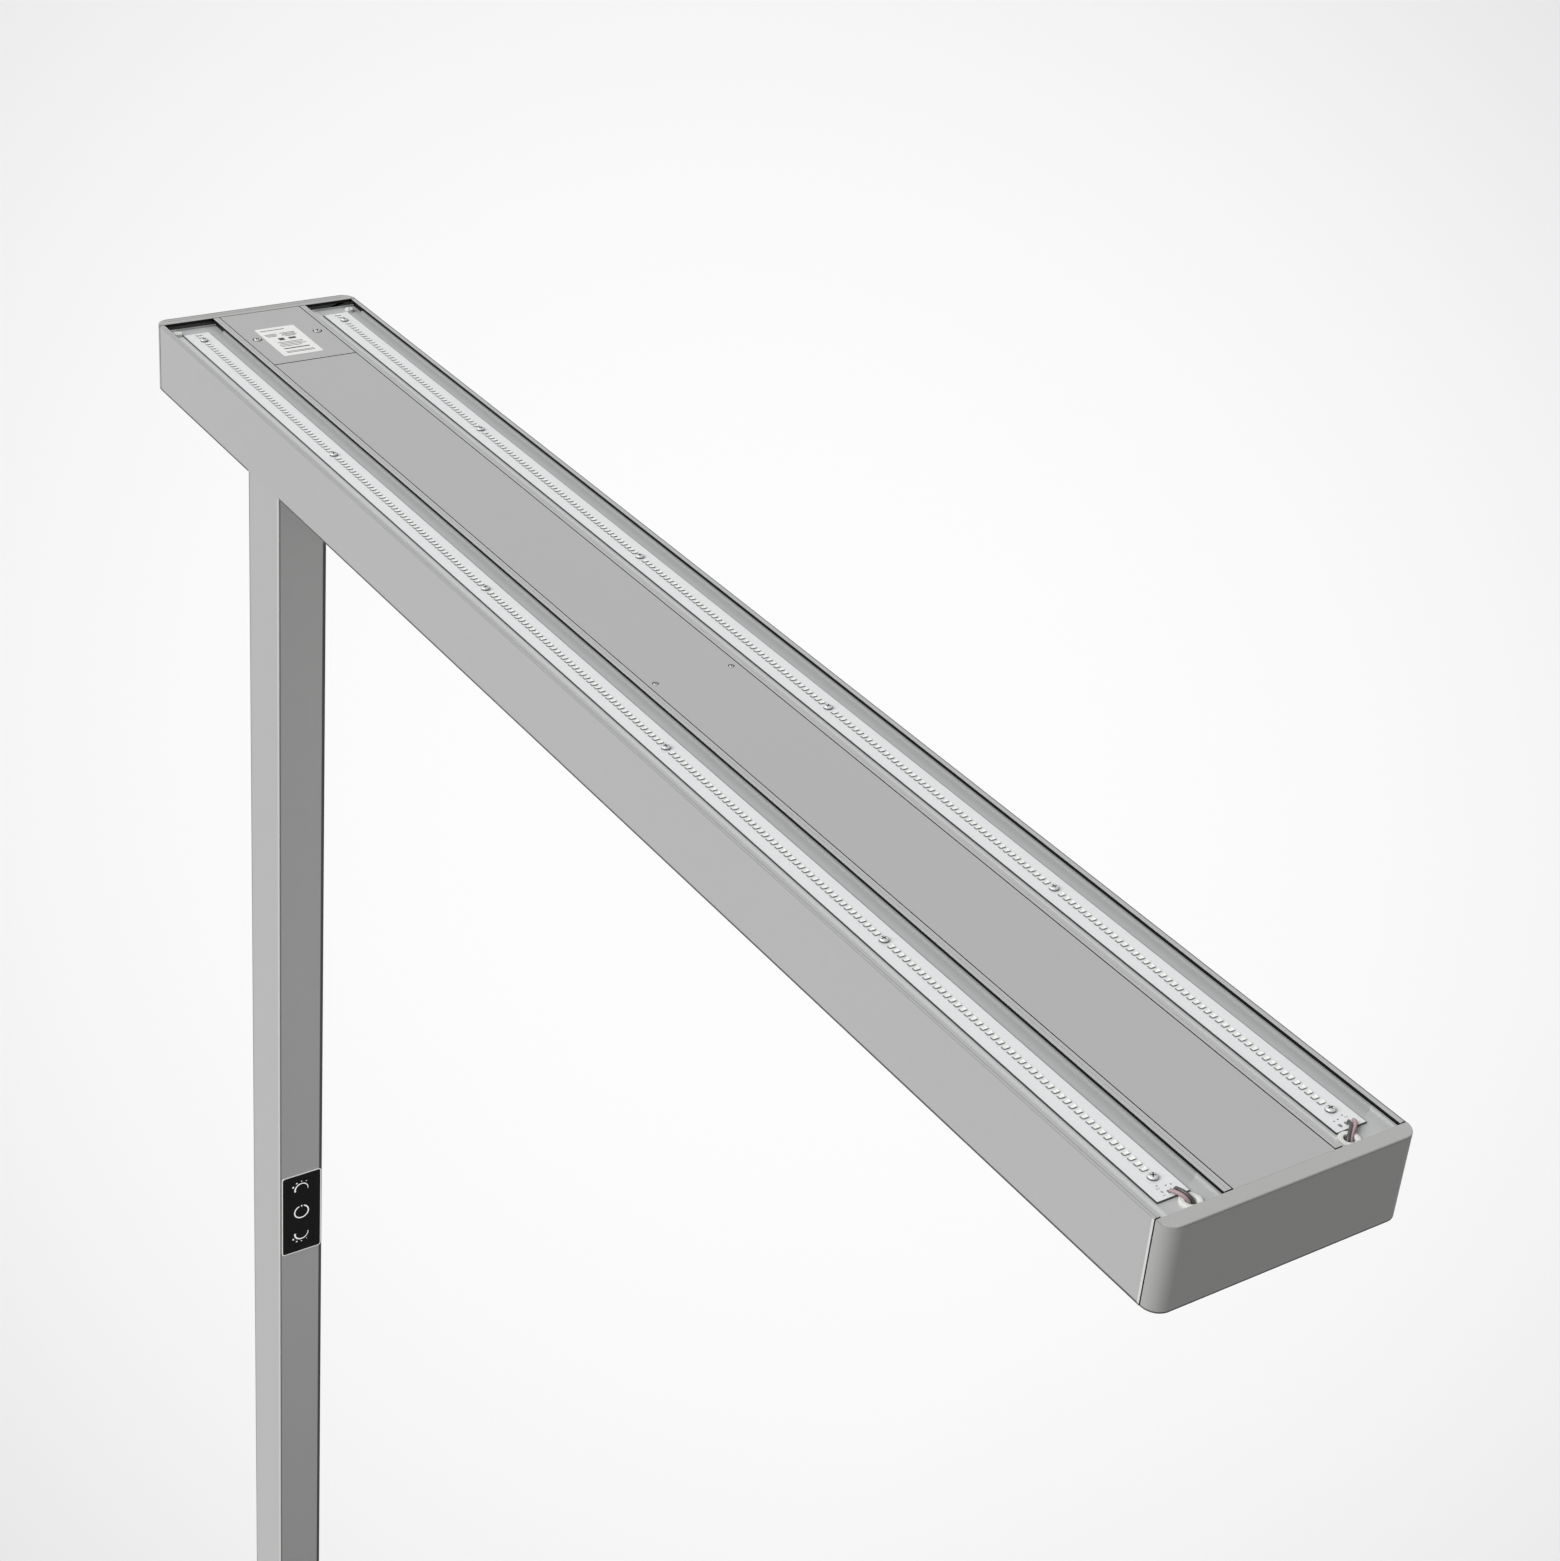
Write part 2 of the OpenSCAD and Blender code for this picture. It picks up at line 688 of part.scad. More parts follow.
// Tray in the near trough; grommet_y is its grommet's place across the head
module uplight_tray(grommet_y) {
    y0 = side_wall + tray_gap;
    y1 = inner_y - tray_gap;
    x0 = profile_x0 + tray_gap;
    x1 = profile_x1 - tray_gap;
    difference() {
        union() {
            block([x0, y0, tray_seat], [x1, y1, tray_top]);
            block([x0, y0, tray_seat], [x0 + tray_t, y1, tray_top + tray_end_h]);
            for (y = [y0, y1 - tray_t])
                block([x0 + tray_notch, y, tray_seat], [x1, y + tray_t, tray_top + tray_flange_h]);
        }
        for (x = board_screws_x)
            rod(board_screw_d + 2 * screw_gap, tray_t + 2 * cut, [x, led_line, tray_seat - cut]);
        rod(grommet_neck_d + 2 * hole_gap, tray_t + 2 * cut, [grommet_x, grommet_y, tray_seat - cut]);
        rod(board_screw_d + 2 * screw_gap, tray_t + 2 * cut, [stud_x, stud_inset, tray_seat - cut]);
    }
}

module uplight_tray_near() {
    color("#bcbdbc") in_head() uplight_tray(near_grommet.y);
}

module uplight_tray_far() {
    color("#bcbdbc") in_head() across_head() uplight_tray(head_w - far_grommet.y);
}

module tray_studs() {
    color("#e8e9e8") in_head() mirrored_in_head() translate([stud_x, stud_inset, tray_top])
        difference() {
            union() {
                rod(stud_d, stud_h);
                rod(board_screw_d, tray_t + thread_past + cut, [0, 0, -tray_t - thread_past]);
            }
            rotate(stud_slot_turn) translate([-stud_d / 2, -stud_slot_w / 2, stud_h - stud_slot_depth])
                cube([stud_d, stud_slot_w, stud_h]);
        }
}

module uplight_board() {
    difference() {
        block([board_x0, led_line - board_w / 2, tray_top],
              [board_x1, led_line + board_w / 2, tray_top + board_t]);
        for (x = board_screws_x)
            rod(board_screw_d + 2 * hole_gap, board_t + 2 * cut, [x, led_line, tray_top - cut]);
    }
}

module uplight_board_near() {
    color("#e4e6e6") in_head() uplight_board();
}

module uplight_board_far() {
    color("#e4e6e6") in_head() across_head() uplight_board();
}

module led(at) {
    translate(at - [led_l / 2, led_w / 2, 0]) cube([led_l, led_w, led_h]);
}

module uplight_leds() {
    for (x = led_places) led([x, led_line, tray_top + board_t]);
}

module uplight_leds_near() {
    color("#f0ecc8") in_head() uplight_leds();
}

module uplight_leds_far() {
    color("#f0ecc8") in_head() across_head() uplight_leds();
}

module uplight_board_screws() {
    color("#c9cbcc") in_head() mirrored_in_head() for (x = board_screws_x)
        cross_screw([x, led_line, tray_top + board_t], board_screw_head_d, board_screw_head_h,
                    board_screw_d, board_t + tray_t + thread_past);
}

module grommet(place) {
    lip_r = grommet_d / 2;
    neck_r = grommet_neck_d / 2;
    edge = grommet_edge;
    translate([place.x, place.y, tray_top]) rotate_extrude($fn = round_fn) polygon([
        [grommet_bore / 2, -tray_t - grommet_foot_h],
        [lip_r - edge, -tray_t - grommet_foot_h],
        [lip_r - edge, -tray_t],
        [neck_r, -tray_t],
        [neck_r, 0],
        [lip_r, 0],
        [lip_r, grommet_lip_h - edge],
        [lip_r - edge / 3, grommet_lip_h - edge / 3],
        [lip_r - edge, grommet_lip_h],
        [grommet_bore / 2 + edge, grommet_lip_h],
        [grommet_bore / 2 + edge / 3, grommet_lip_h - edge / 3],
        [grommet_bore / 2, grommet_lip_h - edge]
    ]);
}

module lead_grommets() {
    color("#f2f2f1") in_head() for (place = [near_grommet, far_grommet]) grommet(place);
}

// Leads: two side by side from the pads of a board, through its grommet and back to the driver
function lead_turn_x() = driver_x1 + 16;
function lead_run_z() = web_top + 13;

// Route of one lead of the near pair; side is -1 or 1, pads_y is the middle of its pads
function lead_path(side, grommet_y, pads_y) =
    let (shift = side * lead_apart,
         start = [board_x1 - lead_pad_in, pads_y + side * lead_pad_gap, tray_top + board_t + lead_d / 2],
         hole = [grommet_x + 0.4, grommet_y + shift, tray_top - 1],
         turn_x = lead_turn_x() + side * lead_apart,
         in_y = head_mid_y - 8 + shift)
    concat(
        curve([start, start + [5.5, 0, 2.6], hole + [0.2, 0, 8.2], hole], 9),
        [for (p = bent([hole, [hole.x, hole.y, lead_run_z()],
                        [turn_x, hole.y, lead_run_z()],
                        [turn_x, in_y, lead_run_z()],
                        [driver_x1, in_y, lead_run_z()]], wire_bend)) if (p != hole) p]
    );

module uplight_leads_near() {
    color("#b7a5a6") in_head() for (side = [-1, 1])
        tube(lead_path(side, near_grommet.y, led_line + lead_pads_shift), lead_d);
}

module uplight_leads_far() {
    color("#b7a5a6") in_head() across_head() for (side = [-1, 1])
        tube(lead_path(side, head_w - far_grommet.y, led_line - lead_pads_shift), lead_d);
}

module service_cover() {
    color("#b2b3b2") in_head() difference() {
        block([service_x0, cover_y0, cover_seat], [service_x1, cover_y0 + cover_w, head_h]);
        for (y = service_screws_y)
            rod(cover_screw_d + 2 * hole_gap, cover_t + 2 * cut, [service_screw_x, y, cover_seat - cut]);
        for (y = service_screws_y)
            rod(service_screw_d + 2 * hole_gap, cut + cover_recess,
                [service_screw_x, y, head_h - cover_recess]);
    }
}

module service_cover_screws() {
    color("#8f9294") in_head() for (y = service_screws_y)
        cross_screw([service_screw_x, y, head_h - cover_recess], service_screw_d, service_screw_h,
                    cover_screw_d, cover_screw_l);
}

module rating_label() {
    color("#f2f2f0") in_head()
        block([label_mid.x - label_l / 2, label_mid.y - label_w / 2, head_h],
              [label_mid.x + label_l / 2, label_mid.y + label_w / 2, head_h + label_t]);
}

module centre_plate() {
    color("#b0b1b0") in_head() difference() {
        block([plate_x0, cover_y0, cover_seat], [plate_x1, cover_y0 + cover_w, head_h]);
        for (y = plate_screws_y)
            rod(cover_screw_d + 2 * hole_gap, cover_t + 2 * cut, [plate_screw_x, y, cover_seat - cut]);
        for (y = plate_screws_y)
            rod(plate_screw_d + 2 * hole_gap, cut + cover_recess,
                [plate_screw_x, y, head_h - cover_recess]);
    }
}

module centre_plate_screws() {
    color("#6f7172") in_head() for (y = plate_screws_y)
        cross_screw([plate_screw_x, y, head_h - cover_recess], plate_screw_d, plate_screw_h,
                    cover_screw_d, cover_screw_l);
}

// Straps across the centre channel that the covers are screwed to
module cover_bracket(x, screws_y) {
    difference() {
        union() {
            block([x - strap_l / 2, strap_y0, cover_seat - strap_t],
                  [x + strap_l / 2, head_w - strap_y0, cover_seat]);
            mirrored_in_head() block([x - strap_l / 2, strap_y0 + strap_leg_in, web_top],
                [x + strap_l / 2, strap_y0 + strap_leg_in + strap_t, cover_seat]);
        }
        for (y = screws_y)
            rod(cover_screw_d + 2 * screw_gap, strap_t + 2 * cut, [x, y, cover_seat - strap_t - cut]);
    }
}

module cover_brackets() {
    color("#9a9c9d") in_head() {
        cover_bracket(service_screw_x, service_screws_y);
        cover_bracket(plate_screw_x, plate_screws_y);
    }
}

function driver_screws_x() = [driver_x0 + ear_l / 2, driver_x1 - ear_l / 2];

module led_driver() {
    color("#dcdcd8") in_head() difference() {
        union() {
            block([driver_x0, head_mid_y - driver_w / 2, web_top],
                  [driver_x1, head_mid_y + driver_w / 2, web_top + ear_t]);
            block([driver_x0 + ear_l, head_mid_y - driver_w / 2, web_top],
                  [driver_x1 - ear_l, head_mid_y + driver_w / 2, web_top + driver_h]);
            // Connector blocks over the ears, where the leads go in
            mirrored_in_head() for (x = [driver_x0, driver_x1 - ear_l])
                block([x, head_mid_y - driver_w / 2, web_top],
                      [x + ear_l, head_mid_y - small_head_d / 2 - connector_gap,
                       web_top + driver_h - connector_drop]);
        }
        for (x = driver_screws_x())
            rod(small_screw_d + 2 * hole_gap, ear_t + 2 * cut, [x, head_mid_y, web_top - cut]);
    }
}

module driver_screws() {
    color("#8f9294") in_head() for (x = driver_screws_x())
        cross_screw([x, head_mid_y, web_top + ear_t], small_head_d, small_head_h, small_screw_d,
                    ear_t + web_t);
}

function terminal_screws_y() = [for (s = [-1, 1]) head_mid_y + s * (terminal_w / 2 - terminal_screw_in)];
function terminal_y(way) = head_mid_y + (way - (terminal_ways - 1) / 2) * terminal_pitch;

module terminal_block() {
    color("#e6e4dc") in_head() difference() {
        block([terminal_x0, head_mid_y - terminal_w / 2, web_top],
              [terminal_x1, head_mid_y + terminal_w / 2, web_top + terminal_h]);
        for (way = [0 : terminal_ways - 1])
            rod(terminal_well_d, cut + terminal_well_depth,
                [terminal_x1 - terminal_well_in, terminal_y(way),
                 web_top + terminal_h - terminal_well_depth]);
        for (y = terminal_screws_y())
            rod(small_screw_d + 2 * hole_gap, terminal_h + 2 * cut,
                [terminal_mid_x, y, web_top - cut]);
    }
}

module terminal_screws() {
    color("#8f9294") in_head() for (y = terminal_screws_y())
        cross_screw([terminal_mid_x, y, web_top + terminal_h], small_head_d - 1,
                    small_head_h, small_screw_d, terminal_h + web_t);
}

// Three wires from the terminal block to the driver's rear end
module driver_supply_wires() {
    wire_d = 2.6;
    wire_pitch = 5;
    straight = 24;
    z = web_top + terminal_h - 5;
    color("#7b5a3c") in_head() for (way = [1, 2, 3]) {
        from_y = terminal_y(way);
        to_y = head_mid_y + driver_w / 4 + (way - 2) * wire_pitch;
        tube(bent([[terminal_x1, from_y, z], [terminal_x1 + straight, from_y, z],
                   [driver_x0 - straight, to_y, z], [driver_x0, to_y, z]], 8), wire_d);
    }
}

module bottom_plate() {
    color("#a9aaa9") in_head() difference() {
        block([profile_x0 + tray_gap, side_wall + panel_gap, foot_lip_t],
              [bottom_plate_l, head_w - side_wall - panel_gap, groove_top]);
        for (p = plug_bolts)
            rod(bolt_d + 2 * hole_gap, bottom_plate_t + 2 * cut,
                [axis_x + p.x, axis_y + p.y, foot_lip_t - cut]);
        rod(cable_hole_d, bottom_plate_t + 2 * cut, [axis_x, axis_y, foot_lip_t - cut], round_fn);
    }
}

module diffuser() {
    color("#f4f4f0") in_head()
        block([bottom_plate_l + panel_gap, side_wall + panel_gap, foot_lip_t],
              [profile_x1 - tray_gap, head_w - side_wall - panel_gap, foot_lip_t + diffuser_t]);
}

module downlight_board() {
    difference() {
        block([down_board_x0, down_board_y - board_w / 2, down_board_z],
              [down_board_x1, down_board_y + board_w / 2, web_rise]);
        for (x = down_screws_x)
            rod(board_screw_d + 2 * hole_gap, board_t + 2 * cut, [x, down_board_y, down_board_z - cut]);
    }
}

module downlight_board_near() {
    color("#e4e6e6") in_head() downlight_board();
}

module downlight_board_far() {
    color("#e4e6e6") in_head() across_head() downlight_board();
}

function near_a_screw(x) = min([for (s = down_screws_x) abs(s - x)]) < down_led_clear;

module downlight_leds() {
    for (i = [0 : down_led_count - 1]) {
        x = down_board_x0 + down_led_first + i * down_led_pitch;
        if (!near_a_screw(x)) led([x, down_board_y, down_board_z - led_h]);
    }
}

module downlight_leds_near() {
    color("#f0ecc8") in_head() downlight_leds();
}

module downlight_leds_far() {
    color("#f0ecc8") in_head() across_head() downlight_leds();
}

module downlight_board_screws() {
    color("#c9cbcc") in_head() mirrored_in_head() for (x = down_screws_x)
        translate([x, down_board_y, down_board_z]) mirror([0, 0, 1])
            cross_screw([0, 0, 0], board_screw_head_d, board_screw_head_h, board_screw_d,
                        board_t + web_t);
}

function down_lead_y() = channel_y + 4;

// Leads of the downlight boards: up through the web and into the driver's rear end
module downlight_leads() {
    color("#b7a5a6") in_head() mirrored_in_head() for (side = [-1, 1]) {
        pads_z = down_board_z - lead_d / 2;
        up_x = down_board_x0 - down_lead_out + side * lead_apart;
        run_z = down_run_z + side * lead_apart;
        back_x = driver_x0 - 8;
        driver_y = head_mid_y - driver_w / 2 + 4;
        pad_y = down_board_y + board_w / 4 + side * lead_apart;
        tube(bent([[down_board_x0 + down_lead_in, pad_y, pads_z],
                   [up_x, pad_y, pads_z],
                   [up_x, down_lead_y(), pads_z],
                   [up_x, down_lead_y(), run_z],
                   [back_x, down_lead_y(), run_z],
                   [back_x, driver_y, run_z],
                   [driver_x0, driver_y, run_z]], 2), lead_d);
    }
}

// Section of the column's outside, with bevelled edges
function column_plan() = let (x = column_x / 2, y = column_y / 2, e = column_edge) [
    [x - e, -y], [x, -y + e], [x, y - e], [x - e, y],
    [-x + e, y], [-x, y - e], [-x, -y + e], [-x + e, -y]
];

module column_tube() {
    inner_x = column_x - 2 * column_wall;
    inner_y0 = column_y - 2 * column_wall;
    color("#b4b4b3") difference() {
        translate([0, 0, base_top]) linear_extrude(head_z - base_top) polygon(column_plan());
        translate([-inner_x / 2, -inner_y0 / 2, base_top - cut])
            cube([inner_x, inner_y0, head_z - base_top + 2 * cut]);
        // Window for the keypad's body
        translate([face_x - column_wall - cut, -pad_w / 2 + pad_overlap,
                   pad_z - pad_h / 2 + pad_end_overlap])
            cube([column_wall + 2 * cut, pad_w - 2 * pad_overlap, pad_h - 2 * pad_end_overlap]);
        translate([-column_x / 2 - cut, 0, gland_z]) rotate([0, 90, 0])
            rod(gland_thread_d + 2 * hole_gap, column_wall + 2 * cut, fn = round_fn);
        for (z = plug_screws_z) translate([-column_x / 2, 0, z]) rotate([0, 90, 0]) {
            rod(plug_screw_d + 2 * hole_gap, column_wall + 2 * cut, [0, 0, -cut]);
            cylinder(d1 = plug_screw_head_d + 2 * hole_gap, d2 = plug_screw_d + 2 * hole_gap,
                     h = plug_screw_head_h, $fn = small_fn);
        }
    }
}

module head_plug() {
    boss_y0 = -column_y / 2 + bracket_y0;
    color("#8d8f90") difference() {
        union() {
            translate([-plug_x / 2, -plug_y / 2, head_z - head_plug_h])
                cube([plug_x, plug_y, head_plug_h]);
            block([-plug_x / 2, boss_y0, head_z - cut], [plug_x / 2, plug_y / 2, head_z + foot_lip_t]);
        }
        for (p = plug_bolts)
            rod(bolt_d + 2 * screw_gap, bolt_grip + cut + foot_lip_t, [p.x, p.y, head_z - bolt_grip]);
        rod(cable_hole_d, head_plug_h + foot_lip_t + 2 * cut, [0, 0, head_z - head_plug_h - cut], round_fn);
        plug_screw_hole(plug_screws_z[1]);
    }
}

module plug_screw_hole(z) {
    translate([-column_x / 2, 0, z]) rotate([0, 90, 0])
        rod(plug_screw_d + 2 * screw_gap, plug_screw_l + cut);
}

module head_bracket() {
    color("#8d8f90") in_head() difference() {
        union() {
            block([axis_x - bracket_l / 2, bracket_y0, groove_top],
                  [axis_x + bracket_l / 2, bracket_y0 + bracket_w, groove_top + bracket_t]);
            for (x = [axis_x - bracket_l / 2, axis_x + bracket_l / 2 - bracket_wall])
                block([x, bracket_y0, groove_top], [x + bracket_wall, bracket_y0 + bracket_w, web_rise]);
        }
        for (p = plug_bolts)
            rod(bolt_d + 2 * hole_gap, bracket_t + 2 * cut, [axis_x + p.x, axis_y + p.y, groove_top - cut]);
        rod(cable_hole_d, bracket_t + 2 * cut, [axis_x, axis_y, groove_top - cut], round_fn);
        for (p = bracket_screws)
            rod(small_screw_d + 2 * screw_gap, web_rise - groove_top - bracket_t + cut,
                [axis_x + p.x, p.y, groove_top + bracket_t]);
    }
}

module bolt_head() {
    difference() {
        rod(bolt_head_d, bolt_head_h);
        translate([0, 0, bolt_head_h / 2])
            cylinder(d = bolt_head_d * socket_share, h = bolt_head_h, $fn = 6);
    }
}

module head_bolts() {
    seat = groove_top + bracket_t;
    color("#55585a") in_head() for (p = plug_bolts) translate([axis_x + p.x, axis_y + p.y, seat]) {
        bolt_head();
        rod(bolt_d, seat + bolt_grip - bolt_short + cut, [0, 0, -seat - bolt_grip + bolt_short]);
    }
}

module bracket_screws() {
    color("#8f9294") in_head() for (p = bracket_screws)
        cross_screw([axis_x + p.x, p.y, web_top], small_head_d, small_head_h, small_screw_d,
                    web_t + bracket_screw_grip);
}

module foot_plug() {
    color("#8d8f90") difference() {
        translate([-plug_x / 2, -plug_y / 2, base_top]) cube([plug_x, plug_y, foot_plug_h]);
        for (p = plug_bolts) rod(bolt_d + 2 * screw_gap, bolt_grip + cut, [p.x, p.y, base_top - cut]);
        plug_screw_hole(plug_screws_z[0]);
    }
}

// Countersunk bolts from under the base plate
module base_bolts() {
    color("#55585a") for (p = plug_bolts) translate([p.x, p.y, base_pad_t])
        sunk_screw(sunk_head_d, sunk_head_h, bolt_d, base_t + bolt_grip - bolt_short);
}

module plug_screws() {
    color("#8f9294") for (z = plug_screws_z) translate([-column_x / 2, 0, z]) rotate([0, 90, 0])
        sunk_screw(plug_screw_head_d, plug_screw_head_h, plug_screw_d, plug_screw_l);
}

// Route of the supply cable: from the gland up the column, and back to the terminal block
module supply_cable() {
    entry_x = -column_x / 2 - gland_hex_t - gland_dome_h;
    in_z = head_z + channel_z;
    lane_y = -column_y / 2 + channel_y + 8;
    end_x = terminal_x1 - rear_reach;
    end_y = -column_y / 2 + terminal_y(0);
    straight = 18;
    swerve = 22;
    color("#2c2d2e") tube(bent([
        [entry_x, 0, gland_z],
        [supply_x, 0, gland_z],
        [supply_x, 0, in_z],
        [supply_x, lane_y, in_z],
        [end_x + straight + swerve, lane_y, in_z],
        [end_x + straight, end_y, in_z],
        [end_x, end_y, in_z]
    ], 9, 6), supply_d, 10);
}

// Route of the keypad's cable: from the circuit board up the column, and on to the driver
module keypad_cable() {
    in_z = head_z + channel_z;
    start_z = pad_z + key_pitch;
    lane_y = -column_y / 2 + channel_y + 6;
    driver_end = driver_x0 - rear_reach;
    entry_y = -column_y / 2 + head_mid_y - driver_w / 4;
    straight = 16;
    color("#3a3b3d") tube(bent([
        [circuit_back, 0, start_z],
        [signal_x, 0, start_z],
        [signal_x, 0, in_z],
        [signal_x + signal_shift, lane_y, in_z],
        [driver_end - straight, entry_y, in_z],
        [driver_end, entry_y, in_z]
    ], 6, 5), signal_d, 8);
}

module gland_body() {
    color("#2a2b2c") translate([-column_x / 2, 0, gland_z]) rotate([0, -90, 0]) difference() {
        union() {
            cylinder(d = gland_hex_d, h = gland_hex_t, $fn = 6);
            rod(gland_thread_d, gland_thread_l + cut, [0, 0, -gland_thread_l], round_fn);
            translate([0, 0, gland_hex_t])
                cylinder(d1 = gland_dome_d, d2 = gland_dome_d - gland_dome_taper, h = gland_dome_h,
                         $fn = round_fn);
        }
        rod(gland_bore, gland_thread_l + gland_hex_t + gland_dome_h + 2 * cut,
            [0, 0, -gland_thread_l - cut], round_fn);
    }
}

module gland_nut() {
    color("#2a2b2c") translate([-column_x / 2 + column_wall, 0, gland_z]) rotate([0, 90, 0])
        difference() {
            cylinder(d = gland_hex_d, h = gland_nut_t, $fn = 6);
            rod(gland_thread_d + 2 * screw_gap, gland_nut_t + 2 * cut, [0, 0, -cut], round_fn);
        }
}

// Upright slab in the keypad's plane, between two distances from the column's axis
module pad_slab(w, h, x0, x1, r, z = pad_z) {
    translate([x0, -w / 2, z + h / 2]) rotate([0, 90, 0]) rounded_slab(h, w, x1 - x0, r);
}

module keypad_bezel() {
    color("#141414") difference() {
        union() {
            pad_slab(pad_w, pad_h, face_x, pad_front, pad_corner);
            difference() {
                pad_slab(body_w, body_h, circuit_front, face_x + pad_proud / 2, pad_corner / 2);
                pad_slab(body_w - 2 * body_wall, body_h - 2 * body_wall, circuit_front - cut, pad_back,
                         pad_corner / 2);
            }
            for (y = [-post_y, post_y], z = [-post_z, post_z])
                translate([circuit_front, y, pad_z + z]) rotate([0, 90, 0])
                    rod(post_d, pad_front - circuit_front - pad_proud);
        }
        for (i = [-1 : 1])
            pad_slab(key_w + 2 * key_gap, key_h + 2 * key_gap, pad_back - cut, pad_front + cut,
                     pad_corner, pad_z + i * key_pitch);
        for (y = [-post_y, post_y], z = [-post_z, post_z])
            translate([circuit_front - cut, y, pad_z + z]) rotate([0, 90, 0])
                rod(board_m2_d + 2 * screw_gap, 2 * cut + board_m2_grip);
    }
}

// One key: its cap fills an opening of the keypad, and a flange behind the opening holds it in
module key(z) {
    pad_slab(key_w, key_h, pad_back - stop_gap - key_flange_t / 2, pad_front, pad_corner - key_gap, z);
    pad_slab(key_w + 2 * key_flange, key_h + 2 * key_flange, key_back, pad_back - stop_gap, pad_corner, z);
}

module key_brighter() {
    color("#161616") key(pad_z + key_pitch);
}

module key_power() {
    color("#161616") key(pad_z);
}

module key_dimmer() {
    color("#161616") key(pad_z - key_pitch);
}

module keypad_board() {
    color("#2f5d3a") difference() {
        pad_slab(body_w, body_h, circuit_back, circuit_front, pad_corner / 2);
        for (y = [-post_y, post_y], z = [-post_z, post_z])
            translate([circuit_back - cut, y, pad_z + z]) rotate([0, 90, 0])
                rod(board_m2_d + 2 * hole_gap, circuit_t + 2 * cut);
    }
}

module keypad_board_screws() {
    color("#8f9294") for (y = [-post_y, post_y], z = [-post_z, post_z])
        translate([circuit_back, y, pad_z + z]) rotate([0, 90, 0]) {
            rod(board_m2_head_d, board_m2_head_h, [0, 0, -board_m2_head_h]);
            rod(board_m2_d, circuit_t + board_m2_grip);
        }
}

module tact_switches() {
    color("#1d1e1f") for (i = [-1 : 1]) difference() {
        translate([circuit_front, -switch_w / 2, pad_z + i * key_pitch - switch_w / 2])
            cube([switch_t, switch_w, switch_w]);
        translate([switch_front - switch_well, 0, pad_z + i * key_pitch]) rotate([0, 90, 0])
            rod(plunger_d + 2 * plunger_gap, switch_well + cut);
    }
}

module plunger(z) {
    translate([key_back - plunger_l, 0, z]) rotate([0, 90, 0]) rod(plunger_d, plunger_l);
}

module plunger_brighter() {
    color("#d8d5c8") plunger(pad_z + key_pitch);
}

module plunger_power() {
    color("#d8d5c8") plunger(pad_z);
}

module plunger_dimmer() {
    color("#d8d5c8") plunger(pad_z - key_pitch);
}

module base_plate() {
    color("#a9aaa9") difference() {
        translate([-base_rear, base_y0, base_pad_t]) rounded_slab(base_l, base_w, base_t, base_corner);
        for (p = plug_bolts) translate([p.x, p.y, base_pad_t]) {
            rod(bolt_d + 2 * hole_gap, base_t + 2 * cut, [0, 0, -cut]);
            cylinder(d1 = sunk_head_d + 2 * hole_gap, d2 = bolt_d + 2 * hole_gap, h = sunk_head_h,
                     $fn = small_fn);
        }
    }
}

module base_pad() {
    color("#2b2b2b") translate([-base_rear + pad_inset, base_y0 + pad_inset, 0])
        rounded_slab(base_l - 2 * pad_inset, base_w - 2 * pad_inset, base_pad_t, base_corner - pad_inset);
}

head_profile();
rear_end_cap();
front_end_cap();
end_cap_screws();
uplight_tray_near();
uplight_tray_far();
tray_studs();
uplight_board_near();
uplight_board_far();
uplight_leds_near();
uplight_leds_far();
uplight_board_screws();
lead_grommets();
uplight_leads_near();
uplight_leads_far();
service_cover();
service_cover_screws();
rating_label();
centre_plate();
centre_plate_screws();
cover_brackets();
led_driver();
driver_screws();
terminal_block();
terminal_screws();
driver_supply_wires();
bottom_plate();
diffuser();
downlight_board_near();
downlight_board_far();
downlight_leds_near();
downlight_leds_far();
downlight_board_screws();
downlight_leads();
column_tube();
head_plug();
head_bracket();
head_bolts();
bracket_screws();
foot_plug();
base_bolts();
plug_screws();
supply_cable();
keypad_cable();
gland_body();
gland_nut();
keypad_bezel();
key_brighter();
key_power();
key_dimmer();
keypad_board();
keypad_board_screws();
tact_switches();
plunger_brighter();
plunger_power();
plunger_dimmer();
base_plate();
base_pad();
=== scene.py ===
# Office floor lamp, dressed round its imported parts. The pieces' sizes are in millimetres, and the head's
# places are from its rear, near, bottom corner. The camera, floor and lamps are in metres.
import json
import math

import bpy
from mathutils import Matrix, Vector


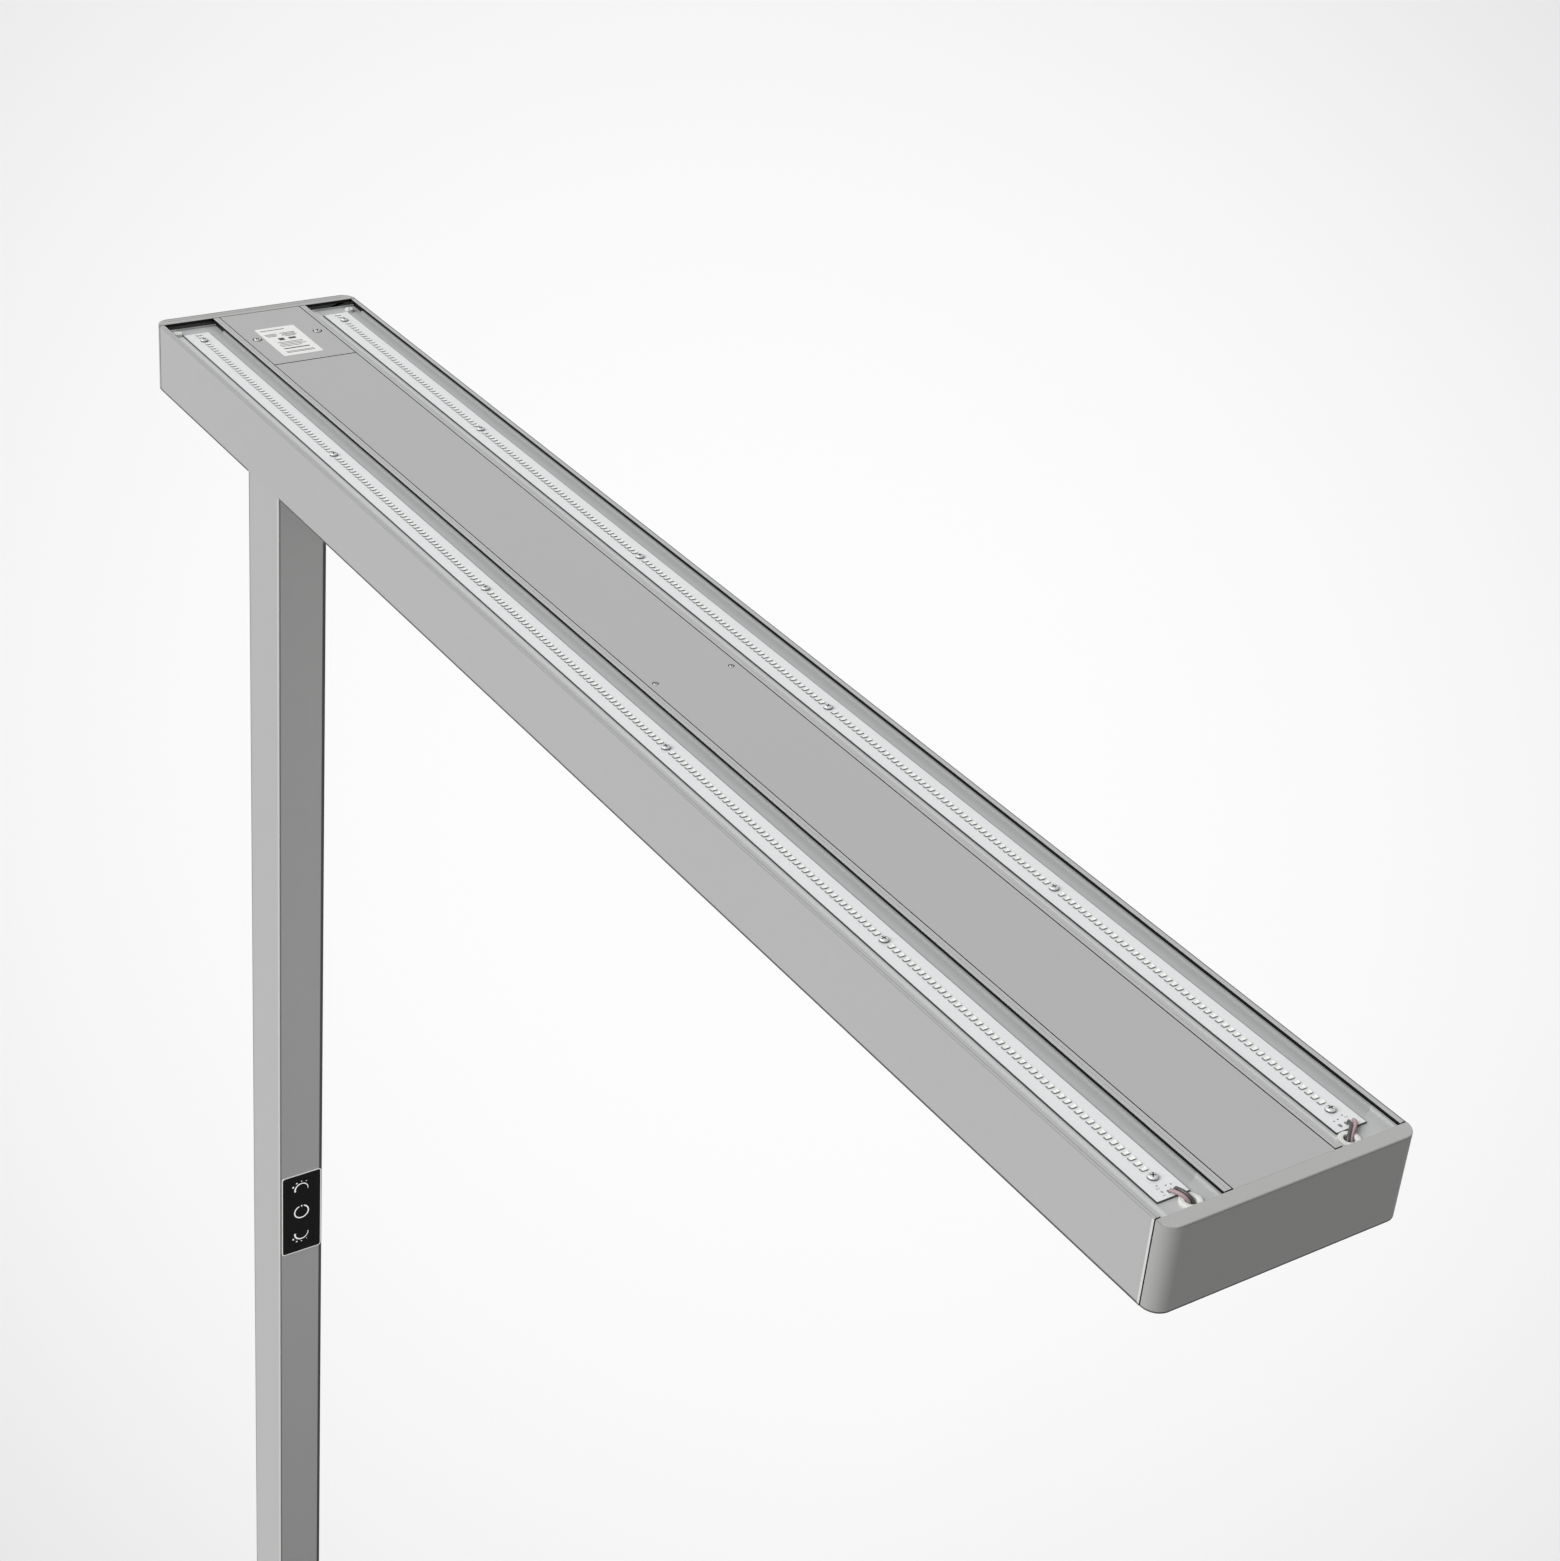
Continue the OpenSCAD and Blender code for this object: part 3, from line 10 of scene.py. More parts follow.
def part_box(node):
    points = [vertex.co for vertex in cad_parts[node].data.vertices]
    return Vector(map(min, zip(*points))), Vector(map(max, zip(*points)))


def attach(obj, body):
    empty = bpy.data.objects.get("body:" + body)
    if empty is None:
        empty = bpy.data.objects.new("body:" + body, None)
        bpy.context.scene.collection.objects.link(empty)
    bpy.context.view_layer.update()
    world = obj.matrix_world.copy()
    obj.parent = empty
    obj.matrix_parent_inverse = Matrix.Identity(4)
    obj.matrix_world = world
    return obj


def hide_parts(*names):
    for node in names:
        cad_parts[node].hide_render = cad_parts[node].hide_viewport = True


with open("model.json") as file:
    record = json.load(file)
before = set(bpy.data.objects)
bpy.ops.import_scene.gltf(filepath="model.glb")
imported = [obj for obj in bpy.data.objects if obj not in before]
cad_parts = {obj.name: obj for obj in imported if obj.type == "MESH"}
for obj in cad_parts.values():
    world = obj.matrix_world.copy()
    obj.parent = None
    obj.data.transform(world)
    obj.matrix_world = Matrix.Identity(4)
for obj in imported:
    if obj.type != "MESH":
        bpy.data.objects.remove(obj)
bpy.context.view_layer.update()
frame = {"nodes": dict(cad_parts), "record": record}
print("packed parts:", len(frame["nodes"]))

mm = 0.001
tiny = 1e-6
headCorner = Vector((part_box("rear_end_cap")[0].x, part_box("head_profile")[0].y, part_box("head_profile")[0].z))


def atHead(x, y, z):
    return headCorner + Vector((x, y, z)) * mm


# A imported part's lowest and highest corners in millimetres, from the part's origin or another corner
def cornersOf(node, origin=Vector((0, 0, 0))):
    return [[round(side / mm, 2) for side in corner - origin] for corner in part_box(node)]


headSize = cornersOf("front_end_cap", headCorner)[1]
headLength, headWidth, headHeight = headSize

# Camera: set first, from the head's and the column's edges in the photograph
cameraView = {
    "eye": (1.68605, -0.77135, 2.76048),
    "right": (0.553785, 0.827926, 0.088661),
    "ahead": (-0.704542, 0.522663, -0.480045),
    "lens": 65.716,
    "shift": (-0.02274, -0.05213),
}


def placeCamera(view):
    bpy.ops.object.camera_add()
    camera = bpy.context.object
    right, ahead = Vector(view["right"]), Vector(view["ahead"])
    up = right.cross(ahead)
    matrix = Matrix((right, up, -ahead)).transposed().to_4x4()
    matrix.translation = Vector(view["eye"])
    camera.matrix_world = matrix
    camera.data.sensor_width = 36
    camera.data.lens = view["lens"]
    camera.data.shift_x, camera.data.shift_y = view["shift"]
    camera.data.clip_start, camera.data.clip_end = 0.05, 80
    bpy.context.scene.camera = camera


placeCamera(cameraView)
print("camera placed")


# Small tools for shaping
def onlySelect(piece):
    bpy.ops.object.select_all(action="DESELECT")
    piece.select_set(True)
    bpy.context.view_layer.objects.active = piece


def applyPlace(piece):
    onlySelect(piece)
    bpy.ops.object.transform_apply(location=True, rotation=True, scale=True)
    return piece


# A box between two corners, its place already in its mesh
def addBox(low, high):
    low, high = Vector(low), Vector(high)
    bpy.ops.object.select_all(action="DESELECT")
    bpy.ops.mesh.primitive_cube_add(size=1, location=(low + high) / 2, scale=high - low)
    return applyPlace(bpy.context.object)


# A round bar from a point along an axis
def addBar(start, axis, length, radius, sides=32):
    axis = Vector(axis).normalized()
    turn = Vector((0, 0, 1)).rotation_difference(axis).to_euler()
    bpy.ops.object.select_all(action="DESELECT")
    bpy.ops.mesh.primitive_cylinder_add(vertices=sides, radius=radius, depth=length,
                                        location=Vector(start) + axis * length / 2, rotation=turn)
    return applyPlace(bpy.context.object)


def objectMode():
    bpy.ops.object.mode_set(mode="OBJECT")


# Selects the faces or edges with the given numbers, and stays in edit mode
def pickNumbers(piece, kind, numbers):
    onlySelect(piece)
    bpy.ops.object.mode_set(mode="EDIT")
    bpy.ops.mesh.select_mode(type=kind)
    bpy.ops.mesh.select_all(action="DESELECT")
    objectMode()
    elements = piece.data.polygons if kind == "FACE" else piece.data.edges
    for number in numbers:
        elements[number].select = True
    bpy.ops.object.mode_set(mode="EDIT")


def pickFaces(piece, test):
    pickNumbers(piece, "FACE", [face.index for face in piece.data.polygons if test(face.center, face.normal)])


# Edges are tested by their two ends
def pickEdges(piece, test):
    points = piece.data.vertices
    pickNumbers(piece, "EDGE", [edge.index for edge in piece.data.edges
                                if test(*(points[i].co for i in edge.vertices))])


def bevelEdges(piece, test, size, steps):
    pickEdges(piece, test)
    bpy.ops.mesh.bevel(offset=size, segments=steps, affect="EDGES")
    objectMode()


def isUpright(a, b):
    return abs(a.z - b.z) > tiny


def applyModifier(piece, kind, **settings):
    onlySelect(piece)
    modifier = piece.modifiers.new(kind.lower(), kind)
    for key, value in settings.items():
        setattr(modifier, key, value)
    bpy.ops.object.modifier_apply(modifier=modifier.name)


# Rounds every edge between faces that meet at more than the angle
def softenEdges(piece, size, steps=2, angle=30):
    applyModifier(piece, "BEVEL", width=size, segments=steps, limit_method="ANGLE",
                  angle_limit=math.radians(angle), harden_normals=False)


def cutOut(piece, tool):
    applyModifier(piece, "BOOLEAN", operation="DIFFERENCE", solver="EXACT", object=tool)
    bpy.data.objects.remove(tool)


# A copy with its own mesh, moved inside the mesh
def copyTo(piece, move, turn=0):
    twin = piece.copy()
    twin.data = piece.data.copy()
    bpy.context.scene.collection.objects.link(twin)
    twin.data.transform(Matrix.Translation(Vector(move)) @ Matrix.Rotation(turn, 4, "Z"))
    return twin


def joinAll(pieces):
    bpy.ops.object.select_all(action="DESELECT")
    for piece in pieces:
        piece.select_set(True)
    bpy.context.view_layer.objects.active = pieces[0]
    if len(pieces) > 1:
        bpy.ops.object.join()
    return bpy.context.object


# Copies one made piece to each place with its own turn, and joins the copies
def setOut(made, places, turns=(0,)):
    copies = [copyTo(made, place, turns[i % len(turns)]) for i, place in enumerate(places)]
    bpy.data.objects.remove(made)
    return joinAll(copies)


# Gives a piece its name, finishes and body, and hides the part that it stands for. Its slot argument is not used,
# and faces gives the number of each face's finish
def finishPiece(piece, name, *finishes, slot=None, body="lamp", stands=None, smooth=35, faces=None):
    applyPlace(piece)
    piece.name = piece.data.name = name
    if smooth:
        bpy.ops.object.shade_smooth_by_angle(angle=math.radians(smooth))
        applyModifier(piece, "WEIGHTED_NORMAL", keep_sharp=True)  # keeps flat faces flat beside rounded edges
    piece.data.materials.clear()
    for finish in finishes:
        piece.data.materials.append(materials[finish])
    if faces:
        piece.data.polygons.foreach_set("material_index", faces)
    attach(piece, body)
    if stands:
        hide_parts(stands)


# Shader tools
def colourOf(code):
    parts = [int(code[i:i + 2], 16) / 255 for i in (0, 2, 4)]
    return tuple(c / 12.92 if c <= 0.04045 else ((c + 0.055) / 1.055) ** 2.4 for c in parts) + (1,)


def addNode(tree, kind, inputs=None, **settings):
    node = tree.nodes.new(kind)
    for key, value in settings.items():
        setattr(node, key, value)
    for key, value in (inputs or {}).items():
        if isinstance(value, bpy.types.NodeSocket):
            tree.links.new(value, node.inputs[key])
        else:
            node.inputs[key].default_value = value
    return node


def newGroup(name, inputs, outputs):
    group = bpy.data.node_groups.new(name, "ShaderNodeTree")
    for label, kind, value in inputs:
        socket = group.interface.new_socket(label, in_out="INPUT", socket_type=kind)
        socket.default_value = value
    for label, kind in outputs:
        group.interface.new_socket(label, in_out="OUTPUT", socket_type=kind)
    return group, group.nodes.new("NodeGroupInput"), group.nodes.new("NodeGroupOutput")


def objectPlace(tree):
    return addNode(tree, "ShaderNodeTexCoord").outputs["Object"]


def noise(tree, place, scale, detail=2.0, rough=0.5):
    return addNode(tree, "ShaderNodeTexNoise", {"Vector": place, "Scale": scale, "Detail": detail,
                                               "Roughness": rough}).outputs["Fac"]


def sums(tree, kind, a, b=0.0, c=0.0):
    return addNode(tree, "ShaderNodeMath", {0: a, 1: b, 2: c}, operation=kind).outputs[0]


def vectorSum(tree, kind, a, b, output=0):
    return addNode(tree, "ShaderNodeVectorMath", {0: a, 1: b}, operation=kind).outputs[output]


def toned(tree, colour, tone):
    return addNode(tree, "ShaderNodeVectorMath", {0: colour, "Scale": tone}, operation="SCALE").outputs[0]


def ramp(tree, value, start, end, **settings):
    return addNode(tree, "ShaderNodeMapRange", {"Value": value, 1: start, 2: end}, **settings).outputs[0]


floatSocket, colourSocket, vectorSocket = "NodeSocketFloat", "NodeSocketColor", "NodeSocketVector"


# A skin is a node group that lays tone, sheen and height, which its own function works out, over a colour
def makeSkin(name, extras, skinOf):
    group, given, out = newGroup(
        name, [("Colour", colourSocket, (0.5, 0.5, 0.5, 1)), ("Roughness", floatSocket, 0.4)] + [
            (label, floatSocket, value) for label, value in extras.items()],
        [("Colour", colourSocket), ("Roughness", floatSocket), ("Height", floatSocket)])
    tone, sheen, height = skinOf(group, objectPlace(group), given.outputs)
    group.links.new(toned(group, given.outputs["Colour"], tone), out.inputs["Colour"])
    group.links.new(sums(group, "ADD", sheen, given.outputs["Roughness"]), out.inputs["Roughness"])
    group.links.new(height, out.inputs["Height"])
    return group


# Powder coat: slow drift of tone, a fine grain of grey specks and the low waves of the sprayed skin
def paintSkin(group, place, given):
    slow = noise(group, place, 4.0, 3.0)
    wave = noise(group, place, 380.0)
    fine = noise(group, place, given["Grain Scale"], 2.0, 0.6)
    speck = addNode(group, "ShaderNodeTexVoronoi", {"Vector": place, "Scale": 900.0}).outputs["Distance"]
    driftPart = sums(group, "MULTIPLY", sums(group, "SUBTRACT", slow, 0.5), given["Drift"])
    grainPart = sums(group, "MULTIPLY", sums(group, "SUBTRACT", fine, 0.5), given["Grain"])
    speckPart = sums(group, "MULTIPLY_ADD", speck, 0.02, -0.01)
    tone = sums(group, "ADD", sums(group, "ADD", driftPart, grainPart), sums(group, "ADD", speckPart, 1.0))
    height = sums(group, "ADD", sums(group, "MULTIPLY", wave, 0.7), sums(group, "MULTIPLY", fine, 0.3))
    return tone, sums(group, "MULTIPLY_ADD", wave, 0.12, -0.06), height


# Moulded plastic: cloudy tone and a fine spark-eroded skin
def mouldSkin(group, place, given):
    cloud = noise(group, place, 60.0, 3.0)
    skin = addNode(group, "ShaderNodeTexVoronoi", {"Vector": place, "Scale": given["Skin Scale"]},
                   feature="SMOOTH_F1").outputs["Distance"]
    tone = sums(group, "MULTIPLY_ADD", sums(group, "SUBTRACT", cloud, 0.5), given["Cloud"], 1.0)
    return tone, sums(group, "MULTIPLY_ADD", skin, 0.1, -0.03), skin


# Bare or plated metal: stretched tool marks over cloudy plating
def metalSkin(group, place, given):
    drawn = addNode(group, "ShaderNodeMapping", {"Vector": place, "Scale": (0.06, 1.0, 1.0)}).outputs[0]
    marks = noise(group, drawn, given["Mark Scale"], 3.0, 0.6)
    cloud = noise(group, place, 140.0, 3.0)
    tone = sums(group, "MULTIPLY_ADD", sums(group, "SUBTRACT", cloud, 0.5), given["Cloud"], 1.0)
    return tone, sums(group, "MULTIPLY_ADD", marks, 0.25, -0.12), marks


# A mask group for a box: how near a point lies to its sides is given to the mask's own function
def makeMask(name, maskOf):
    group, given, out = newGroup(name, [
        ("Low", vectorSocket, (0, 0, 0)), ("High", vectorSocket, (1, 1, 1)), ("Width", floatSocket, 0.0001)],
        [("Mask", floatSocket)])
    place = objectPlace(group)
    nearer = vectorSum(group, "MINIMUM", vectorSum(group, "SUBTRACT", place, given.outputs["Low"]),
                       vectorSum(group, "SUBTRACT", given.outputs["High"], place))
    sides = addNode(group, "ShaderNodeSeparateXYZ", {0: nearer}).outputs
    group.links.new(maskOf(group, *sides, given.outputs["Width"]), out.inputs["Mask"])
    return group


# The region inside the box
def zoneMask(group, x, y, z, width):
    depth = sums(group, "MINIMUM", x, sums(group, "MINIMUM", y, z))
    half = sums(group, "MULTIPLY", width, 0.5)
    return ramp(group, depth, sums(group, "MULTIPLY", half, -1.0), half)


# The lines along the box's edges, where its surface turns from one side to the next
def edgeMask(group, x, y, z, width):
    second = sums(group, "MAXIMUM", sums(group, "MINIMUM", x, y),
                  sums(group, "MINIMUM", sums(group, "MAXIMUM", x, y), z))
    ragged = noise(group, objectPlace(group), 260.0, 3.0)
    reach = sums(group, "MULTIPLY", width, sums(group, "MULTIPLY_ADD", ragged, 0.6, 0.7))
    return ramp(group, second, reach, sums(group, "MULTIPLY", reach, 0.6))


skins = {
    "paint": makeSkin("paint skin", {"Drift": 0.03, "Grain": 0.07, "Grain Scale": 1500}, paintSkin),
    "mould": makeSkin("mould skin", {"Cloud": 0.04, "Skin Scale": 2500}, mouldSkin),
    "metal": makeSkin("metal marks", {"Cloud": 0.12, "Mark Scale": 900}, metalSkin),
}
masks = {"zone": makeMask("zone", zoneMask), "edge lines": makeMask("edge lines", edgeMask)}


# Mixes another colour over a material's own one
def tintOver(material, factor, code):
    tree = material.node_tree
    colour = tree.nodes["Principled BSDF"].inputs["Base Color"]
    mix = addNode(tree, "ShaderNodeMix", {0: factor, 6: colour.links[0].from_socket, 7: colourOf(code)},
                  data_type="RGBA")
    tree.links.new(mix.outputs[2], colour)


# The same through the mask of a box, whose corners are given in the part's frame
def shadeBox(material, kind, low, high, width, strength, code):
    tree = material.node_tree
    mask = addNode(tree, "ShaderNodeGroup", {"Low": low, "High": high, "Width": width}, node_tree=masks[kind])
    tintOver(material, sums(tree, "MULTIPLY", mask.outputs["Mask"], strength), code)


openSide = 5000  # millimetres, past any side of the lamp


# Zones are boxes in millimetres from a corner, with None for a side left open: their lowest and highest
# corners, the width of the soft border, how strongly they cover, and the colour
def shadeZones(material, corner, zones):
    for low, high, width, strength, code in zones:
        low = Vector([-openSide if side is None else side for side in low])
        high = Vector([openSide if side is None else side for side in high])
        shadeBox(material, "zone", corner + low * mm, corner + high * mm, width * mm, strength, code)


# A material whose colour, roughness and height come from its own function
def makeMaterial(name, surfaceOf, bump, depth, shader, invert=False):
    material = bpy.data.materials.new(name)
    material.use_nodes = True
    tree = material.node_tree
    principled = tree.nodes["Principled BSDF"]
    colour, roughness, height = surfaceOf(tree)
    relief = addNode(tree, "ShaderNodeBump", {"Height": height, "Strength": bump, "Distance": depth},
                     invert=invert).outputs["Normal"]
    for key, socket in (("Base Color", colour), ("Roughness", roughness), ("Normal", relief)):
        tree.links.new(socket, principled.inputs[key])
    for key, value in shader.items():
        principled.inputs[key].default_value = value
    return material


def skinMaterial(name, skin, code, roughness, bump, depth, shader):
    def surfaceOf(tree):
        group = addNode(tree, "ShaderNodeGroup", {"Colour": colourOf(code), "Roughness": roughness},
                        node_tree=skins[skin])
        return [group.outputs[key] for key in ("Colour", "Roughness", "Height")]
    return makeMaterial(name, surfaceOf, bump, depth, shader)


# Paints
paint = {
    "painted_profile": ("b3b4b3", 0.50),
    # the end caps' coat is set a shade darker than the profile's: painted shade for their front faces, which
    # stand away from the light
    "painted_cap": ("acacab", 0.50),
    "painted_tray": ("babbbb", 0.48),
    "painted_cover": ("aeafae", 0.52),
    "painted_column": ("b4b5b4", 0.50),
    "painted_base": ("adaead", 0.50),
}
materials = {name: skinMaterial(name, "paint", code, rough, 0.25, 0.00004, {"Specular IOR Level": 0.18})
             for name, (code, rough) in paint.items()}

# The head's colour carries painted shade and light: thin dark lines along its outer edges and near black in the
# slots, gaps and seams, where shade falls, a fine dark line along the near rim, and a painted highlight beside
# the front seam
columnRear, columnFront = [corner[0] for corner in cornersOf("column_tube", headCorner)]
profilePaintedShading = [
    ((None, None, 0.1), (columnRear, None, 1.3), 0.15, 0.85, "2a2a29"),  # bottom edge behind the column
    ((columnFront, None, 0.1), (None, None, 1.3), 0.15, 0.85, "2a2a29"),  # bottom edge in front of it
    ((None, None, 50.2), (None, 0.5, None), 0.3, 0.4, "5a5a59"),  # near top edge
    ((None, 156.8, 50.3), (None, None, None), 0.3, 0.8, "2c2c2b"),  # far top edge
    ((None, 0.6, 4), (None, 157.35, 50.6), 0.1, 1.0, "0e0e0e"),  # inside, below the lips
    ((None, 46.2, 40), (None, 111.8, 50.95), 0.05, 1.0, "101010"),  # gaps round the covers
    ((1159.45, None, None), (None, None, None), 0.1, 1.0, "101010"),  # seam to the front cap
    ((None, None, None), (10.55, None, None), 0.1, 1.0, "101010"),  # seam to the rear cap
    ((None, 1.0, 50.7), (None, 1.8, None), 0.3, 0.4, "5a5a59"),  # fine line along the near rim
    # the row below is a painted highlight beside the front seam
    ((1157.9, None, 0.8), (1159.3, 0.6, 50.4), 0.1, 0.55, "ececea"),  # light line beside the front seam
]
# Painted shade on the end caps: dark lines along the rear top and bottom edges, near black on their inner sides
# in the seams, and a fine dark line along the rear flange
capPaintedShading = [
    ((None, None, 50.2), (1.5, None, None), 0.4, 0.7, "3a3a39"),  # rear top edge
    ((4.2, 9, 50.6), (5.2, 149, None), 0.4, 0.45, "5a5a59"),  # fine line along the rear flange
    ((None, None, 0.1), (None, None, 1.2), 0.15, 0.8, "333332"),  # bottom edges
    ((1155, 2, None), (1160.35, 156, 49.8), 0.1, 1.0, "101010"),  # inner side of the front cap
    ((9.65, 2, None), (15, 156, 50.7), 0.1, 1.0, "0e0e0e"),  # inner side of the rear cap
]
shadeZones(materials["painted_profile"], headCorner, profilePaintedShading)
# Painted shade: dark lines along all the end caps' edges
shadeBox(materials["painted_cap"], "edge lines", headCorner, atHead(*headSize), mm, 0.4, "5a5a59")
shadeZones(materials["painted_cap"], headCorner, capPaintedShading)
# Painted shade: near black on the covers' sides, in the gaps round them
shadeZones(materials["painted_cover"], headCorner, [
    ((None, 40, 40), (None, 120, 50.93), 0.05, 1.0, "101010")])  # the covers' sides


# The column's painted light and shade: dark lines along its edges as painted shade, and a painted highlight
# beside its front corner
def shadeColumn():
    (rear, near, _), (front, far, _) = cornersOf("column_tube")
    shadeZones(materials["painted_column"], Vector((0, 0, 0)), [
        ((front - 1.1, far - 2.8, None), (None, None, None), 0.5, 0.85, "222221"),
        ((None, None, None), (rear + 2.2, near + 0.7, None), 0.6, 0.6, "5a5a59"),
        ((front - 2.6, None, None), (front - 0.3, near + 0.2, None), 0.6, 0.5, "e2e2e0"),
        ((front - 0.3, None, None), (None, near + 1.3, None), 0.4, 0.65, "464645")])


shadeColumn()
# Painted shade: dark lines along the base plate's edges
shadeBox(materials["painted_base"], "edge lines", *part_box("base_plate"), mm, 0.3, "4a4a49")


# Painted shade on the trays: darker towards the slots on their far sides, where the lips overhang them, as far as
# a slanted line near their front ends; and a painted highlight beside the near rims
def shadeTrays():
    tray = {"pitch": 112.0, "turn": 79.0, "light": (13.0, 11.0), "dark": (30.0, 44.0), "slant": 0.55,
            "shade_end": (1163.0, 1162.5)}
    material = materials["painted_tray"]
    tree = material.node_tree
    head = vectorSum(tree, "SUBTRACT", objectPlace(tree), headCorner)
    x, y, _ = addNode(tree, "ShaderNodeSeparateXYZ", {0: head}).outputs
    second = sums(tree, "GREATER_THAN", y, tray["turn"] * mm)
    across = sums(tree, "SUBTRACT", y, sums(tree, "MULTIPLY", second, tray["pitch"] * mm))
    deep = ramp(tree, across, *(edge * mm for edge in tray["dark"]), interpolation_type="SMOOTHSTEP")
    slanted = sums(tree, "MULTIPLY_ADD", across, tray["slant"], x)
    shade_end = ramp(tree, slanted, *(edge * mm for edge in tray["shade_end"]))
    tintOver(material, sums(tree, "MULTIPLY", sums(tree, "MULTIPLY", deep, shade_end), 0.3), "707172")
    light = ramp(tree, across, *(edge * mm for edge in tray["light"]))
    tintOver(material, sums(tree, "MULTIPLY", light, 0.85), "e2e3e3")


shadeTrays()

# Metals
metal = {
    "zinc_screw": ("c4c6c6", 0.46),
    "bright_screw": ("d2d4d3", 0.48),
    "galvanised_steel": ("9da0a2", 0.42),
    "plain_steel": ("8a8c8e", 0.40),
    "black_bolt": ("3a3b3d", 0.45),
    "trim_metal": ("f0f0ee", 0.22),
}
for name, (code, rough) in metal.items():
    materials[name] = skinMaterial(name, "metal", code, rough, 0.3, 0.00002,
                                   {"Metallic": 0.55 if "screw" in name else 0.9})

# Plastics, rubber and print: colour, roughness and specular level
plastic = {
    "white_nylon": ("d9d9d6", 0.38, 0.5),
    "driver_case": ("dcdcd8", 0.5, 0.5),
    "terminal_plastic": ("e2e0d8", 0.45, 0.5),
    "gland_plastic": ("2c2d2e", 0.45, 0.5),
    "switch_plastic": ("262728", 0.4, 0.5),
    "switch_plunger": ("d8d5c8", 0.4, 0.5),
    "cable_sheath": ("2b2c2d", 0.55, 0.4),
    "rubber_pad": ("2b2b2b", 0.8, 0.3),
    "lead_sleeve": ("a48e90", 0.42, 0.45),
    "lead_dark": ("4a4748", 0.36, 0.5),
    "supply_wire": ("7b5a3c", 0.4, 0.5),
    "circuit_green": ("2f5d3a", 0.3, 0.5),
    "label_film": ("e6e6e4", 0.45, 0.4),
    "label_ink": ("2c2c2c", 0.5, 0.4),
    "symbol_print": ("f6f6f4", 0.5, 0.4),
    "led_body": ("e8e9e8", 0.35, 0.4),
    "led_phosphor": ("efefeb", 0.3, 0.4),
    # led_side: the diodes' outer sides, grey as painted shade on their white case, and the solder of their feet
    # and pads
    "led_side": ("7c7e7e", 0.5, 0.3),
    "board_print": ("a3a5a7", 0.5, 0.4),
    "mark_black": ("232324", 0.5, 0.4),
    # recess_dark and recess_grey: painted shade in the screws' crosses, at the foot of their heads and in the
    # covers' screw seats
    "recess_dark": ("1d1d1d", 0.6, 0.2),
    "recess_grey": ("5a5b5b", 0.5, 0.3),
}
for name, (code, rough, level) in plastic.items():
    materials[name] = skinMaterial(name, "mould", code, rough, 0.2, 0.00003, {"Specular IOR Level": level})

# The symbols are given a faint glow, painted light on their print, and the diodes' sides are painted paler
# towards the rear, painted light where more light from the board reaches them
symbolInputs = materials["symbol_print"].node_tree.nodes["Principled BSDF"].inputs
symbolInputs["Emission Color"].default_value = (1, 1, 1, 1)
symbolInputs["Emission Strength"].default_value = 0.28
shadeZones(materials["led_side"], headCorner, [((None, None, None), (260, None, None), 450, 0.6, "c6c8c8")])


# White solder resist: the copper under it shows as a slightly raised, brighter ladder of areas
def boardSurface(tree):
    place = objectPlace(tree)
    ladder = addNode(tree, "ShaderNodeTexBrick", {
        "Vector": place, "Scale": 1.0, "Brick Width": 0.0089256, "Row Height": 0.0075, "Mortar Size": 0.0002,
        "Mortar Smooth": 0.4, "Color1": (1, 1, 1, 1), "Color2": (0.985, 0.985, 0.985, 1),
        "Mortar": (0.955, 0.96, 0.96, 1)})
    fibre = noise(tree, place, 700.0, 3.0)
    body = addNode(tree, "ShaderNodeMix", {"Factor": 1.0, 6: ladder.outputs["Color"], 7: colourOf("e1e2e3")},
                   data_type="RGBA", blend_type="MULTIPLY")
    tint = toned(tree, body.outputs[2], sums(tree, "MULTIPLY_ADD", fibre, 0.03, 0.985))
    return tint, sums(tree, "MULTIPLY_ADD", fibre, 0.12, 0.32), ladder.outputs["Fac"]


def makeBoardWhite(name):
    return makeMaterial(name, boardSurface, 0.25, 0.00003, {}, invert=True)


# The uplight boards are painted near black along their edges and sides, outside the white of the top: painted
# shade like that in a shadow gap
def makeUplightBoard(node):
    material = makeBoardWhite(f"{node}_resist")
    low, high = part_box(node)
    edge = Vector((0.35, 0.35, 0.1)) * mm
    shadeBox(material, "edge lines", low, high, 0.4 * mm, 0.85, "2a2a2a")
    shadeBox(material, "zone", low - edge, high + Vector((edge.x, edge.y, -edge.z)), 0.1 * mm, 1.0, "1c1c1c")
    return material


# Opal sheet: milky, with a little light coming through
def opalSurface(tree):
    place = objectPlace(tree)
    frost = noise(tree, place, 1800.0)
    cloud = noise(tree, place, 9.0)
    tint = toned(tree, colourOf("f0f0ec")[:3], sums(tree, "MULTIPLY_ADD", cloud, 0.03, 0.985))
    return tint, sums(tree, "MULTIPLY_ADD", frost, 0.15, 0.3), frost


# Keypad: black gloss, finely mottled, with wipe marks in the roughness
def keypadSurface(tree):
    place = objectPlace(tree)
    wipe = noise(tree, place, 55.0, 4.0, 0.6)
    dust = noise(tree, place, 2600.0)
    tint = toned(tree, colourOf("171718")[:3], sums(tree, "MULTIPLY_ADD", dust, 0.3, 0.85))
    return tint, sums(tree, "MULTIPLY_ADD", wipe, 0.12, 0.14), wipe


